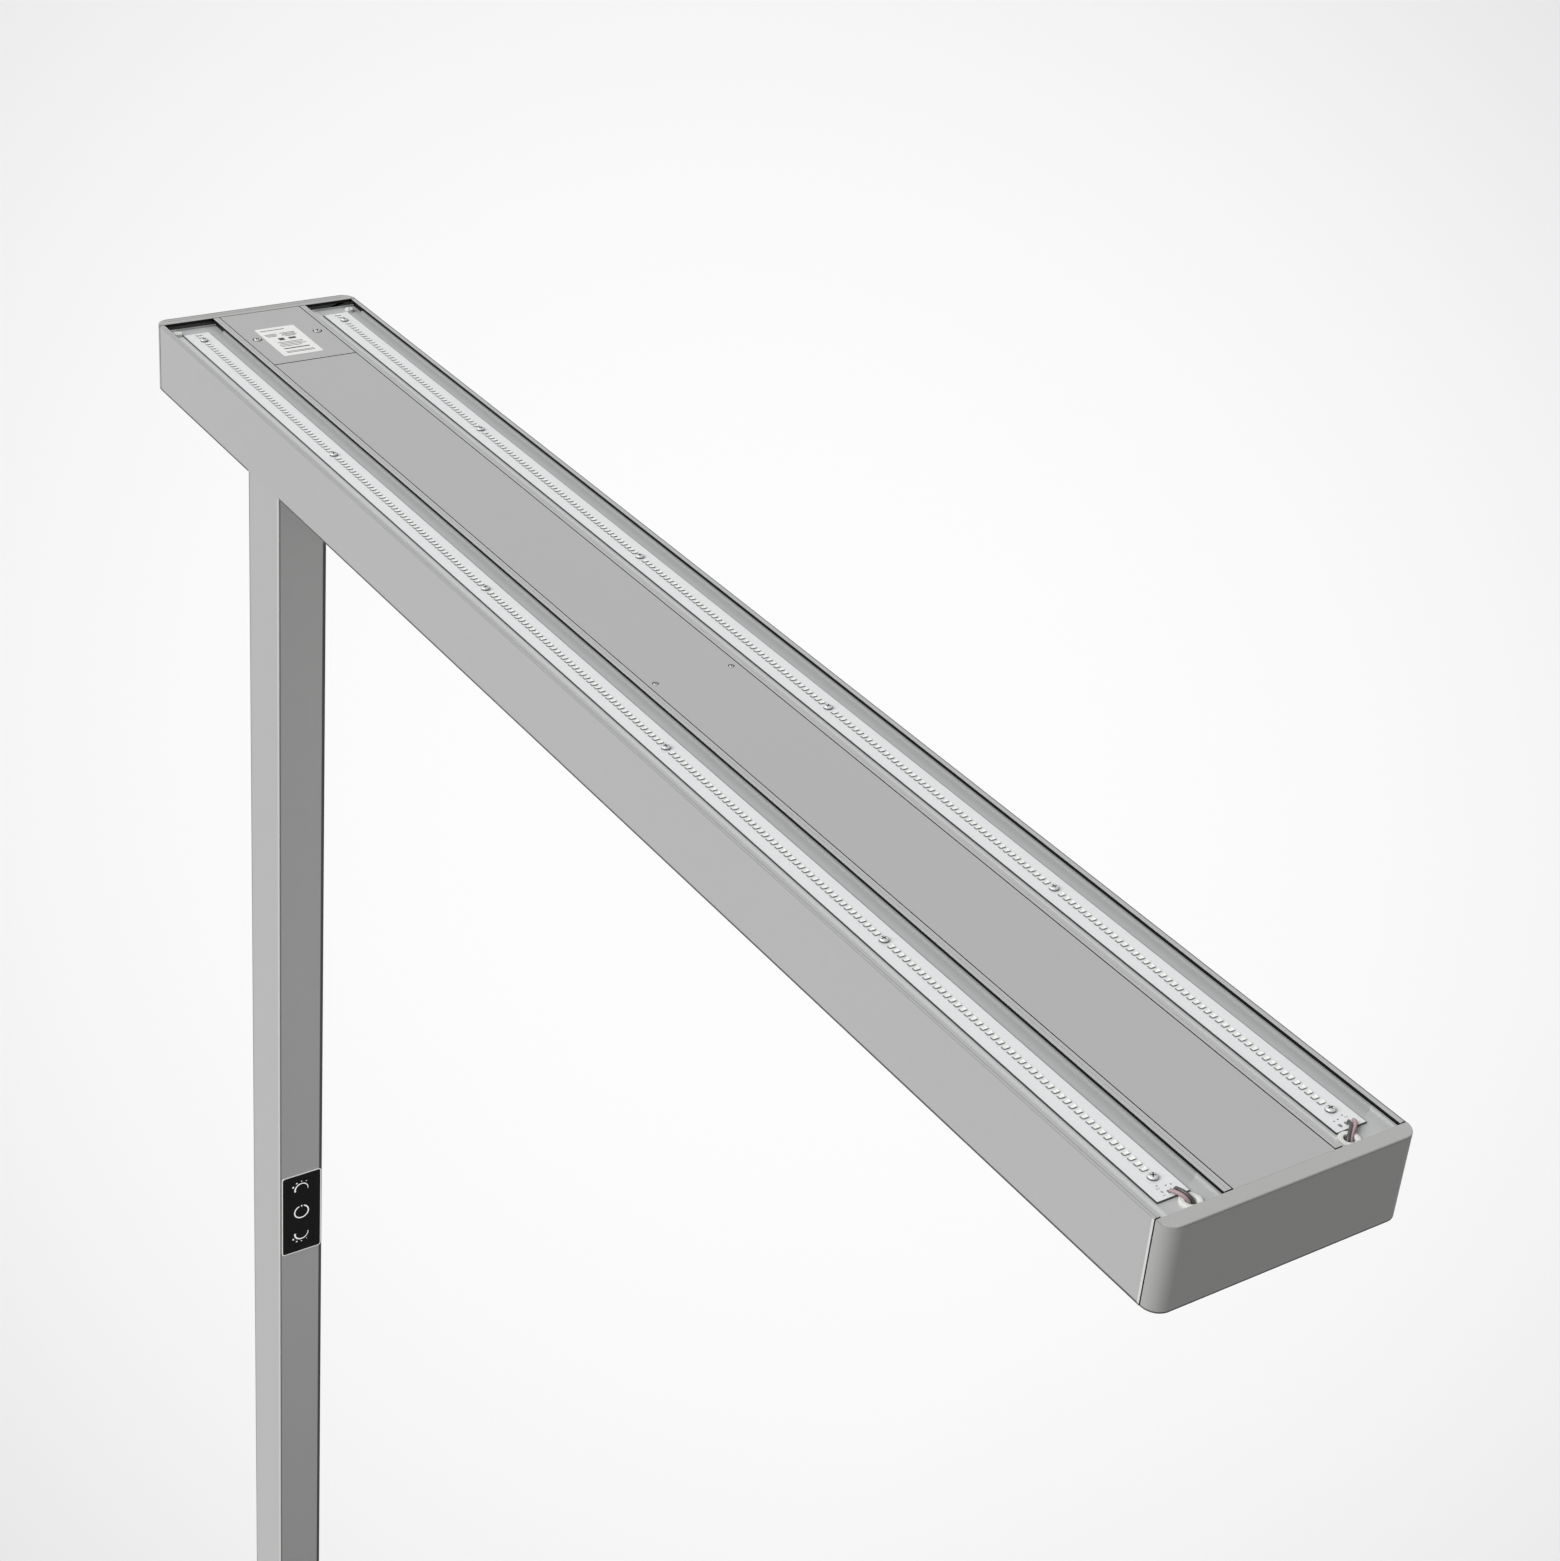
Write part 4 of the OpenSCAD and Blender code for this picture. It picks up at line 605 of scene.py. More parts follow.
materials["board_white"] = makeBoardWhite("board_white")
materials["opal_acrylic"] = makeMaterial("opal_acrylic", opalSurface, 0.2, 0.00002, {
    "Subsurface Weight": 0.25, "Subsurface Radius": (0.004, 0.004, 0.004)})
materials["keypad_gloss"] = makeMaterial("keypad_gloss", keypadSurface, 0.05, 0.0001, {
    "Specular IOR Level": 0.06})

for entry in frame["record"]["subparts"]:
    node = frame["nodes"].get(entry["node"])
    if node:
        isUplight = entry["node"] in ("uplight_board_near", "uplight_board_far")
        finish = makeUplightBoard(entry["node"]) if isUplight else materials[entry["material_slot"]]
        node.data.materials.clear()
        node.data.materials.append(finish)
print("finishes made:", len(materials))

# End caps: rounded shells with two tongues that reach into the profile
cap = {"length": 10, "gap": 0.3, "corner": 9.4, "edge": 0.5, "wall": 2.5, "skin": 6, "tongueLength": 15,
       "tongueIn": 8, "tongueWidth": 28, "tongueLow": 21, "tongueHigh": 24, "tongueEdge": 0.4}


# The outer end is at the head's rear or front, and way points from there into the head
def makeCap(name, node, outer, way):
    inner = outer + way * (cap["length"] - cap["gap"])
    shell = addBox(atHead(min(outer, inner), 0, 0), atHead(max(outer, inner), headWidth, headHeight))
    outerX, innerX = atHead(outer, 0, 0).x, atHead(inner, 0, 0).x

    def bothAt(x, a, b):
        return abs(a.x - x) < tiny and abs(b.x - x) < tiny

    bevelEdges(shell, lambda a, b: bothAt(outerX, a, b) and isUpright(a, b), cap["corner"] * mm, 14)
    bevelEdges(shell, lambda a, b: not isUpright(a, b) and not bothAt(innerX, a, b), cap["edge"] * mm, 3)
    pickFaces(shell, lambda c, n: abs(c.x - innerX) < tiny)
    bpy.ops.mesh.inset(thickness=cap["wall"] * mm, depth=0)
    pocket = (cap["length"] - cap["gap"] - cap["skin"]) * mm
    bpy.ops.mesh.extrude_region_move(TRANSFORM_OT_translate={"value": (-way * pocket, 0, 0)})
    objectMode()
    parts = [shell]
    for y in (cap["tongueIn"], headWidth - cap["tongueIn"] - cap["tongueWidth"]):
        x0, x1 = outer + way, inner + way * cap["tongueLength"]
        tongue = addBox(atHead(min(x0, x1), y, cap["tongueLow"]),
                        atHead(max(x0, x1), y + cap["tongueWidth"], cap["tongueHigh"]))
        softenEdges(tongue, cap["tongueEdge"] * mm)
        parts.append(tongue)
    finishPiece(joinAll(parts), name, "painted_cap", stands=node, smooth=50)


makeCap("front_cap_shell", "front_end_cap", headLength, -1)
makeCap("rear_cap_shell", "rear_end_cap", 0, 1)
print("end caps done")

# Covers over the centre channel, with softened edges and recessed screw seats. A gap below 0 reaches past
# the end of the part
covers = {
    "service_panel": {"node": "service_cover", "screws": [(60, 55.05), (60, 102.95)], "seat": 3.5,
                      "rearGap": 0.2, "frontGap": 0.4},
    "centre_panel": {"node": "centre_plate", "screws": [(633, 52.35), (633, 105.65)], "seat": 2.0,
                     "rearGap": 0.4, "frontGap": -0.29},
}
coverEdge = {"round": 0.12, "recess": 0.6, "sideGap": 0.45}


def makeCover(name, spec):
    low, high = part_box(spec["node"])
    low += Vector((spec["rearGap"], coverEdge["sideGap"], 0)) * mm
    high -= Vector((spec["frontGap"], coverEdge["sideGap"], 0)) * mm
    panel = addBox(low, high)
    softenEdges(panel, coverEdge["round"] * mm)
    seatZ = atHead(0, 0, headHeight - coverEdge["recess"]).z
    centres = [atHead(x, y, headHeight) for x, y in spec["screws"]]
    for centre in centres:
        cutOut(panel, addBar((centre.x, centre.y, seatZ), (0, 0, 1), 2 * mm, spec["seat"] * mm))

    def inRecess(face):
        beside = any(math.dist(face.center[:2], centre[:2]) < 4 * mm for centre in centres)
        return abs(face.center.z - seatZ) < tiny or (abs(face.normal.z) < 0.2 and beside)

    # the screw seats take recess_dark, painted shade in the recesses
    finishPiece(panel, name, "painted_cover", "recess_dark", stands=spec["node"], smooth=40,
                faces=[int(inRecess(face)) for face in panel.data.polygons])


for name, spec in covers.items():
    makeCover(name, spec)

# What the boards' screws and diodes share, in the head's millimetres
(_, boardNear, sheetTop), (_, boardFar, boardTop) = cornersOf("uplight_board_near", headCorner)
boards = {"line": (boardNear + boardFar) / 2, "firstScrew": 38.3, "screwPitch": 218.68, "screws": 6}

# Screws: domed heads with a cross recess, one made and copied to each place
screwKinds = {
    "board": {"radius": 2.8, "height": 1.8, "cross": (0.75, 3.4), "shank": 1.5,
              "turns": (0.35, 1.1, 0.7, 1.45, 0.1, 0.9, 1.25)},
    "cover": {"radius": 2.7, "height": 1.3, "cross": (0.8, 3.6), "shank": 1.25, "turns": (0.5, 1.2)},
    "plate": {"radius": 1.45, "height": 0.7, "cross": (0.45, 2.0), "shank": 1.25, "turns": (0.3, 1.0)},
}
shankLength = 3.8


# The second finish is painted shade, for the cross and the foot of the head's side
def setScrews(kind, places, name, *finishes, stands):
    spec = screwKinds[kind]
    radius, height = spec["radius"] * mm, spec["height"] * mm
    width, length = (side * mm for side in spec["cross"])
    head = addBar((0, 0, 0), (0, 0, 1), height, radius, 28)
    bevelEdges(head, lambda a, b: a.z > height - tiny and b.z > height - tiny, height * 0.55, 4)
    for turn in (0, math.pi / 2):
        slot = addBox((-length / 2, -width / 2, height * 0.42), (length / 2, width / 2, height * 2))
        slot.data.transform(Matrix.Rotation(turn, 4, "Z"))
        cutOut(head, slot)
    down = shankLength * mm
    shank = addBar((0, 0, -down), (0, 0, 1), down + height * 0.3, spec["shank"] * mm, 12)
    screw = joinAll([head, shank])
    faces = []
    for face in screw.data.polygons:
        x, y, z = abs(face.center.x), abs(face.center.y), face.center.z
        inCross = min(x, y) < width * 0.51 and max(x, y) < length * 0.51 and z > height * 0.4 and (
            z < height * 0.45 or abs(face.normal.z) < 0.3)
        onSide = math.hypot(x, y) > radius * 0.95 and z < height * 0.5
        faces.append(int(inCross or onSide))
    finishPiece(setOut(screw, places, spec["turns"]), name, *finishes, stands=stands, smooth=40,
                faces=faces * len(places))


setScrews("board", [atHead(boards["firstScrew"] + i * boards["screwPitch"], y, boardTop)
                    for y in (boards["line"], headWidth - boards["line"]) for i in range(boards["screws"])],
          "board_screw_heads", "bright_screw", "recess_grey", stands="uplight_board_screws")
for kind, panel, stands in (("cover", "service_panel", "service_cover_screws"),
                            ("plate", "centre_panel", "centre_plate_screws")):
    setScrews(kind, [atHead(x, y, headHeight - coverEdge["recess"]) for x, y in covers[panel]["screws"]],
              f"{kind}_screw_heads", "zinc_screw", "recess_dark", stands=stands)
print("covers and screws done")

# Diodes: a white case with a sunk window of phosphor and a solder foot at each side; the case's outer sides take
# the feet's grey as painted shade
diode = {"length": 2.8, "width": 3.5, "height": 0.7, "chamfer": 0.3, "rim": 0.42, "sink": 0.16, "foot": 0.28,
         "footWidth": 2.2, "perScrew": 49, "skip": 1.5, "behind": 2,
         "finishes": ("led_body", "led_phosphor", "led_side")}
belowRow = {"firstIn": 24, "pitch": 10, "screwIn": 14, "screws": 5, "clear": 6}


def makeDiode():
    length, width, height = diode["length"] * mm, diode["width"] * mm, diode["height"] * mm
    case = addBox((-length / 2, -width / 2, 0), (length / 2, width / 2, height))
    bevelEdges(case, isUpright, diode["chamfer"] * mm, 1)
    pickFaces(case, lambda c, n: n.z > 0.9)
    bpy.ops.mesh.inset(thickness=diode["rim"] * mm, depth=0)
    bpy.ops.mesh.extrude_region_move(TRANSFORM_OT_translate={"value": (0, 0, -diode["sink"] * mm)})
    bpy.ops.transform.resize(value=(0.9, 0.9, 1))
    objectMode()
    parts = [case]
    for side in (-1, 1):
        y0, y1 = side * width / 2, side * (width / 2 + diode["foot"] * mm)
        parts.append(addBox((-diode["footWidth"] * mm / 2, min(y0, y1), 0),
                            (diode["footWidth"] * mm / 2, max(y0, y1), height * 0.4)))
    for part in parts:
        for finish in diode["finishes"]:
            part.data.materials.append(materials[finish])
        for face in part.data.polygons:
            isWindow = face.normal.z > 0.9 and abs(face.center.z - (height - diode["sink"] * mm)) < tiny
            isOuter = abs(face.normal.z) < 0.5 and (
                abs(face.center.x) > 0.4 * length or abs(face.center.y) > 0.4 * width)
            face.material_index = 1 if isWindow else 2 if isOuter or part is not case else 0
    return joinAll(parts)


def placesAbove():
    step = boards["screwPitch"] / diode["perScrew"]
    xs = [boards["firstScrew"] - (diode["skip"] + i) * step for i in range(diode["behind"])]
    count = int(diode["perScrew"] - 2 * diode["skip"]) + 1
    for span in range(boards["screws"] - 1):
        start = boards["firstScrew"] + span * boards["screwPitch"]
        xs += [start + (diode["skip"] + i) * step for i in range(count)]
    return xs


# The rows below leave room round the board's screws
def placesBelow(start, end):
    row = belowRow
    spacing = (end - start - 2 * row["screwIn"]) / (row["screws"] - 1)
    screws = [start + row["screwIn"] + i * spacing for i in range(row["screws"])]
    count = int((end - start - 2 * row["firstIn"]) / row["pitch"]) + 1
    xs = [start + row["firstIn"] + i * row["pitch"] for i in range(count)]
    return [x for x in xs if min(abs(x - screw) for screw in screws) >= row["clear"]]


def makeDiodes():
    (start, near, belowTop), (end, far, _) = cornersOf("downlight_board_near", headCorner)
    above, below, belowLine = placesAbove(), placesBelow(start, end), (near + far) / 2
    rows = (("diodes_near", above, boards["line"], boardTop, 0, "uplight_leds_near"),
            ("diodes_far", above, headWidth - boards["line"], boardTop, 0, "uplight_leds_far"),
            ("diodes_below_near", below, belowLine, belowTop, math.pi, "downlight_leds_near"),
            ("diodes_below_far", below, headWidth - belowLine, belowTop, math.pi, "downlight_leds_far"))
    for name, xs, y, z, flip, node in rows:
        made = makeDiode()
        made.data.transform(Matrix.Rotation(flip, 4, "X"))
        faces = [face.material_index for face in made.data.polygons] * len(xs)
        finishPiece(setOut(made, [atHead(x, y, z) for x in xs]), name, *diode["finishes"],
                    slot="led_phosphor", stands=node, smooth=0, faces=faces)
        print(name, len(xs))


makeDiodes()

# Slotted studs beside the boards' rear ends
studs = {"x": 20.3, "y": 10, "radius": 3.2, "height": 2.5, "edge": 0.8, "slot": 1.2, "depth": 1.0,
         "turn": 0.35, "stem": 1.5, "stemLength": 3.2}


def makeStuds():
    s = studs
    height = s["height"] * mm
    made = addBar((0, 0, 0), (0, 0, 1), height, s["radius"] * mm, 32)
    bevelEdges(made, lambda a, b: a.z > height - tiny and b.z > height - tiny, s["edge"] * mm, 4)
    cutOut(made, addBox((-4 * mm, -s["slot"] * mm / 2, height - s["depth"] * mm),
                        (4 * mm, s["slot"] * mm / 2, 2 * height)))
    stem = addBar((0, 0, -s["stemLength"] * mm), (0, 0, 1), (s["stemLength"] + 0.2) * mm, s["stem"] * mm, 16)
    places = [atHead(s["x"], y, sheetTop) for y in (s["y"], headWidth - s["y"])]
    finishPiece(setOut(joinAll([made, stem]), places, (s["turn"], -s["turn"])), "tray_buttons", "white_nylon",
                stands="tray_studs", smooth=40)


# Round bushes for the leads
grommets = {"x": 1153.5, "near": 27.8, "far": 127.6, "outer": 6, "bore": 3, "lip": 1.8, "sheet": 1.2,
            "foot": 1.2, "neck": 1.6, "footIn": 0.7, "round": 0.7, "ease": 0.2}


# The half section is spun round the upright axis
def makeGrommets():
    g = grommets
    outer, bore, lip, curve, ease = [g[key] for key in ("outer", "bore", "lip", "round", "ease")]
    bottom, neck, footEdge = -(g["sheet"] + g["foot"]), outer - g["neck"], outer - g["footIn"]
    section = [(bore, bottom), (footEdge, bottom), (footEdge, -g["sheet"]), (neck, -g["sheet"]), (neck, 0),
               (outer, 0), (outer, lip - curve), (outer - ease, lip - ease), (outer - curve, lip),
               (bore + curve, lip), (bore + ease, lip - ease), (bore, lip - curve)]
    bpy.ops.object.select_all(action="DESELECT")
    bpy.ops.mesh.primitive_circle_add(vertices=len(section), radius=1)
    ring = bpy.context.object
    for point, (r, z) in zip(ring.data.vertices, section):
        point.co = (r * mm, 0, z * mm)
    pickEdges(ring, lambda a, b: True)
    bpy.ops.mesh.spin(steps=48, angle=2 * math.pi, center=(0, 0, 0), axis=(0, 0, 1))
    bpy.ops.mesh.select_all(action="SELECT")
    bpy.ops.mesh.remove_doubles(threshold=tiny)
    bpy.ops.mesh.normals_make_consistent(inside=False)
    objectMode()
    finishPiece(setOut(ring, [atHead(g["x"], g[side], sheetTop) for side in ("near", "far")]), "lead_bushes",
                "white_nylon", stands="lead_grommets", smooth=50)


makeStuds()
makeGrommets()

# Solder pads, test dots and corner marks: middle, length and width of each on the near board
boardMarks = {
    "led_side": [(1143.3, 23.0, 2.6, 1.8), (1143.3, 27.0, 2.6, 1.8)],
    "mark_black": [(1139.0, 24.6, 0.8, 0.8), (1139.4, 27.4, 0.8, 0.8)],
    "board_print": [(1137.4, 20.4, 1.0, 1.3), (1139.4, 20.1, 1.4, 0.5), (1139.4, 18.9, 1.4, 0.5),
                    (1142.0, 19.9, 1.6, 1.3), (1144.4, 19.3, 0.5, 1.8), (27.0, 24.6, 0.35, 2.4),
                    (28.2, 25.6, 2.4, 0.35)],
}
markDepth, markProud = 0.02, 0.04  # millimetres under and over the boards' tops


def makeMarks():
    finishes = list(boardMarks)
    patches, faces = [], []
    for finish, spots in boardMarks.items():
        for x, y, length, width in spots:
            for middle in (y, headWidth - y):
                patch = addBox(atHead(x - length / 2, middle - width / 2, boardTop - markDepth),
                               atHead(x + length / 2, middle + width / 2, boardTop + markProud))
                bevelEdges(patch, isUpright, min(length, width) * 0.4 * mm, 3)
                faces += [finishes.index(finish)] * len(patch.data.polygons)
                patches.append(patch)
    finishPiece(joinAll(patches), "board_marks", *finishes, slot="board_white", smooth=0, faces=faces)


makeMarks()

# Leads: two from each board's pads, over the edge and down through the grommet, back to the driver
leads = {"radius": 1.0, "apart": 1.05, "padGap": 1.6, "startX": 1143.6, "nearPads": 25.0, "farPads": 137.4,
         "holeX": 1153.9, "holeZ": 44.4, "runZ": 34, "turnX": 556, "driverX": 540, "innerY": 71, "bend": 3,
         "rise": (4.5, 0, 1.5), "fall": (-1.6, 0, 4.6)}


def bezierPoints(p, steps):
    made = []
    for i in range(steps + 1):
        u = i / steps
        v = 1 - u
        made.append(p[0] * v ** 3 + p[1] * 3 * v * v * u + p[2] * 3 * v * u * u + p[3] * u ** 3)
    return made


# Rounds the inner corners of a route
def roundCorners(route, radius, steps=6):
    made = [route[0]]
    for before, corner, after in zip(route, route[1:], route[2:]):
        a, b = (before - corner).normalized(), (after - corner).normalized()
        half = a.angle(b) / 2
        reach = radius / math.tan(half)
        start, end = corner + a * reach, corner + b * reach
        for i in range(steps + 1):
            u = i / steps
            made.append(start * (1 - u) ** 2 + corner * 2 * u * (1 - u) + end * u * u)
    return made + [route[-1]]


# A round tube along points, each with its own radius
def tubeAlong(points, radii, sides=4):
    curve = bpy.data.curves.new("route", "CURVE")
    curve.dimensions = "3D"
    curve.bevel_depth, curve.bevel_resolution, curve.use_fill_caps = 1.0, sides, True
    spline = curve.splines.new("POLY")
    spline.points.add(len(points) - 1)
    for point, place, radius in zip(spline.points, points, radii):
        point.co = (*place, 1)
        point.radius = radius
    tube = bpy.data.objects.new("route", curve)
    bpy.context.scene.collection.objects.link(tube)
    onlySelect(tube)
    bpy.ops.object.convert(target="MESH")
    return bpy.context.object


# Each lead runs on one side of its pair's middle line; across gives a point's place from its own long side
def makeLead(side, across, holeY, padsY):
    s = leads
    holeY, padsY = across(holeY), across(padsY)
    start = Vector((s["startX"], padsY + side * s["padGap"], boardTop + s["radius"]))
    hole = Vector((s["holeX"], holeY + side * s["apart"], s["holeZ"]))
    turnX, inY = s["turnX"] + side * s["apart"], s["innerY"] + side * s["apart"]
    arc = bezierPoints([start, start + Vector(s["rise"]), hole + Vector(s["fall"]), hole], 16)
    run = [hole, Vector((hole.x, hole.y, s["runZ"])), Vector((turnX, hole.y, s["runZ"])),
           Vector((turnX, inY, s["runZ"])), Vector((s["driverX"], inY, s["runZ"]))]
    points = arc + roundCorners(run, s["bend"])[1:]
    return tubeAlong([atHead(p.x, across(p.y), p.z) for p in points], [s["radius"] * mm] * len(points))


def makeLeads():
    for label, across in (("near", lambda y: y), ("far", lambda y: headWidth - y)):
        for side, colour, finish in ((-1, "pale", "lead_sleeve"), (1, "dark", "lead_dark")):
            lead = makeLead(side, across, grommets[label], leads[f"{label}Pads"])
            finishPiece(lead, f"lead_{colour}_{label}", finish, slot="lead_sleeve",
                        stands=f"uplight_leads_{label}", smooth=60)


makeLeads()
print("boards dressed")

# Label: white film with rounded corners and plain ruled bars, each with its middle, length and width
label = {"middle": (69.6, 75.7), "size": (53.5, 31.0), "thick": 0.15, "corner": 1.0, "inkDepth": 0.02,
         "inkProud": 0.01,
         "bars": [(-22.0, -3.5, 1.0, 19.0), (-14.5, -8.4, 0.9, 9.0), (-12.5, -8.4, 0.9, 9.0),
                  (-10.5, -8.4, 0.9, 7.0), (-14.5, 5.0, 0.9, 12.0), (-12.5, 5.0, 0.9, 10.0),
                  (-10.5, 5.0, 0.9, 12.0), (-8.5, 5.0, 0.9, 8.0), (-4.0, -4.0, 4.4, 4.4),
                  (-4.0, 4.5, 3.2, 5.6), (2.0, 0.0, 0.85, 20.0), (4.5, 0.0, 0.85, 18.0),
                  (7.0, 0.0, 0.85, 21.0), (9.5, -2.0, 0.85, 16.0), (14.0, 0.0, 1.6, 20.0),
                  (19.5, 0.0, 0.85, 22.0), (21.5, 0.0, 0.85, 22.0)]}


def makeLabel():
    middleX, middleY = label["middle"]

    def barOn(x, y, length, width, low, high):
        return addBox(atHead(middleX + x - length / 2, middleY + y - width / 2, low),
                      atHead(middleX + x + length / 2, middleY + y + width / 2, high))

    inkTop = headHeight + label["thick"]
    film = barOn(0, 0, *label["size"], headHeight, inkTop)
    bevelEdges(film, isUpright, label["corner"] * mm, 5)
    bars = [barOn(*bar, inkTop - label["inkDepth"], inkTop + label["inkProud"]) for bar in label["bars"]]
    faces = [0] * len(film.data.polygons) + [1] * sum(len(bar.data.polygons) for bar in bars)
    finishPiece(joinAll([film] + bars), "plain_label", "label_film", "label_ink", stands="rating_label",
                smooth=0, faces=faces)


makeLabel()

# Column: a tube with softly rounded edges, cut for the keypad, the gland and the plug screws
(columnLowX, _, _), (faceX, _, _) = cornersOf("column_tube")
(_, keypadLowY, keypadLow), (_, keypadHighY, keypadHigh) = cornersOf("keypad_bezel")
keypadZ = (keypadLow + keypadHigh) / 2
column = {"wall": 2.5, "round": 1.0, "window": (26.4, 74), "glandZ": 80, "glandRadius": 6.2,
          "screwsZ": (32, 1869), "screwRadius": 4.7}


def makeColumn():
    s = column
    low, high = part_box("column_tube")
    x, y = high.x, high.y
    sleeve = addBox(low, high)
    bevelEdges(sleeve, isUpright, s["round"] * mm, 5)
    wall = s["wall"] * mm
    cutOut(sleeve, addBox((-x + wall, -y + wall, low.z - 0.01), (x - wall, y - wall, high.z + 0.01)))
    width, height = s["window"]
    cutOut(sleeve, addBox((x - 2 * wall, -width * mm / 2, (keypadZ - height / 2) * mm),
                          (x + wall, width * mm / 2, (keypadZ + height / 2) * mm)))
    for z, radius in [(s["glandZ"], s["glandRadius"])] + [(z, s["screwRadius"]) for z in s["screwsZ"]]:
        cutOut(sleeve, addBar((-x - wall, 0, z * mm), (1, 0, 0), 3 * wall, radius * mm, 32))
    finishPiece(sleeve, "column_sleeve", "painted_column", stands="column_tube", smooth=30)


makeColumn()

# Keypad: a light hairline frame round the black panel, and a white symbol on each key. A symbol's rise is
# from the panel's middle, and a dot is given by its distance from the symbol's middle, angle and size
keypad = {"corner": 2, "frame": 0.9, "frameDepth": 0.4, "frameProud": 0.85, "frameEdge": 0.2, "play": 0.06,
          "print": 0.035,
          "brighter": {"rise": 23.8, "radius": 5.6, "from": -8, "to": 195, "thick": (0.28, 0.72),
                       "dots": ((8.2, 152, 1.7), (8.0, 121, 1.4), (7.9, 90, 1.0), (8.1, 59, 0.8))},
          "power": {"rise": 0.95, "radius": 5.95, "from": 110, "to": 430, "thick": (0.55, 0.55), "dots": ()},
          "dimmer": {"rise": -21.0, "radius": 5.7, "from": 170, "to": 366, "thick": (0.78, 0.28),
                     "dots": ((8.4, 211, 1.6), (8.5, 241, 1.3), (8.1, 270, 0.9), (8.1, 303, 0.6))},
          "tick": {"y": 0.15, "from": 5.1, "to": 6.5, "thick": 0.55}}


# An upright slab centred on the keypad, with its corners rounded
def slabOver(width, height, corner, x0, x1):
    slab = addBox((x0 * mm, -width * mm / 2, (keypadZ - height / 2) * mm),
                  (x1 * mm, width * mm / 2, (keypadZ + height / 2) * mm))
    bevelEdges(slab, lambda a, b: abs(a.x - b.x) > tiny, corner * mm, 6)
    return slab


def makeFrame():
    s = keypad
    width, height = keypadHighY - keypadLowY, keypadHigh - keypadLow
    front = faceX + s["frameProud"]
    trim = slabOver(width + 2 * s["frame"], height + 2 * s["frame"], s["corner"] + s["frame"],
                    faceX - s["frameDepth"], front)
    bevelEdges(trim, lambda a, b: min(a.x, b.x) > front * mm - tiny, s["frameEdge"] * mm, 2)
    cutOut(trim, slabOver(width + s["play"], height + s["play"], s["corner"], faceX - 2, faceX + 3))
    finishPiece(trim, "keypad_frame", "trim_metal", slot="painted_column", smooth=40)


# A point in the keypad's plane: angles start at +Y and turn upwards
def atKeypad(z, radius, angle):
    angle = math.radians(angle)
    return Vector((0, radius * math.cos(angle), z + radius * math.sin(angle))) * mm


def stroke(z, shape, steps):
    points, radii = [], []
    first, last = shape["thick"]
    for i in range(steps + 1):
        u = i / steps
        points.append(atKeypad(z, shape["radius"], shape["from"] + (shape["to"] - shape["from"]) * u))
        radii.append((first + (last - first) * u) * mm)
    return tubeAlong(points, radii, 3)


def dot(z, radius, angle, size):
    bpy.ops.object.select_all(action="DESELECT")
    bpy.ops.mesh.primitive_uv_sphere_add(segments=16, ring_count=8, radius=size / 2 * mm,
                                         location=atKeypad(z, radius, angle))
    return applyPlace(bpy.context.object)


# Each symbol is pressed flat and laid on the face of its key
def makeSymbols():
    for name, steps in (("brighter", 36), ("power", 60), ("dimmer", 36)):
        z = keypadZ + keypad[name]["rise"]
        parts = [stroke(z, keypad[name], steps)] + [dot(z, *spot) for spot in keypad[name]["dots"]]
        if name == "power":
            tick = keypad["tick"]
            parts.append(tubeAlong([Vector((0, tick["y"], z + tick[end])) * mm for end in ("from", "to")],
                                   [tick["thick"] * mm] * 2, 3))
        symbol = joinAll(parts)
        thickest = max(abs(point.co.x) for point in symbol.data.vertices)
        flat = Matrix.Scale(keypad["print"] * mm / thickest, 4, (1, 0, 0))
        symbol.data.transform(Matrix.Translation((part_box("key_power")[1].x, 0, 0)) @ flat)
        finishPiece(symbol, f"symbol_{name}", "symbol_print", slot="keypad_gloss", body=f"{name}_key",
                    smooth=60)


makeFrame()
makeSymbols()
print("column and keypad done")

# Base: a plate with rounded corners and eased top edges
base = {"corner": 12, "edge": 1.2}


def makeBase():
    low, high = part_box("base_plate")
    slab = addBox(low, high)
    bevelEdges(slab, isUpright, base["corner"] * mm, 14)
    bevelEdges(slab, lambda a, b: abs(a.z - high.z) < tiny and abs(b.z - high.z) < tiny, base["edge"] * mm, 4)
    finishPiece(slab, "base_slab", "painted_base", stands="base_plate", smooth=40)


makeBase()

# Gland: hexagon, thread and ribbed dome, bored for the cable
gland = {"hex": 9, "hexThick": 5, "hexEdge": 0.4, "dome": 7.5, "domeLength": 11, "domeEdge": 1.6, "ribs": 24,
         "ribIn": 0.12, "ribDeep": 0.25, "bore": 3.7, "thread": 6, "threadIn": 7.5, "threadLength": 8}


# A bar of the gland, from a distance behind the column's rear face outwards
def glandBar(start, length, radius, sides=32):
    place = ((columnLowX - start) * mm, 0, column["glandZ"] * mm)
    return addBar(place, (-1, 0, 0), length * mm, radius * mm, sides)


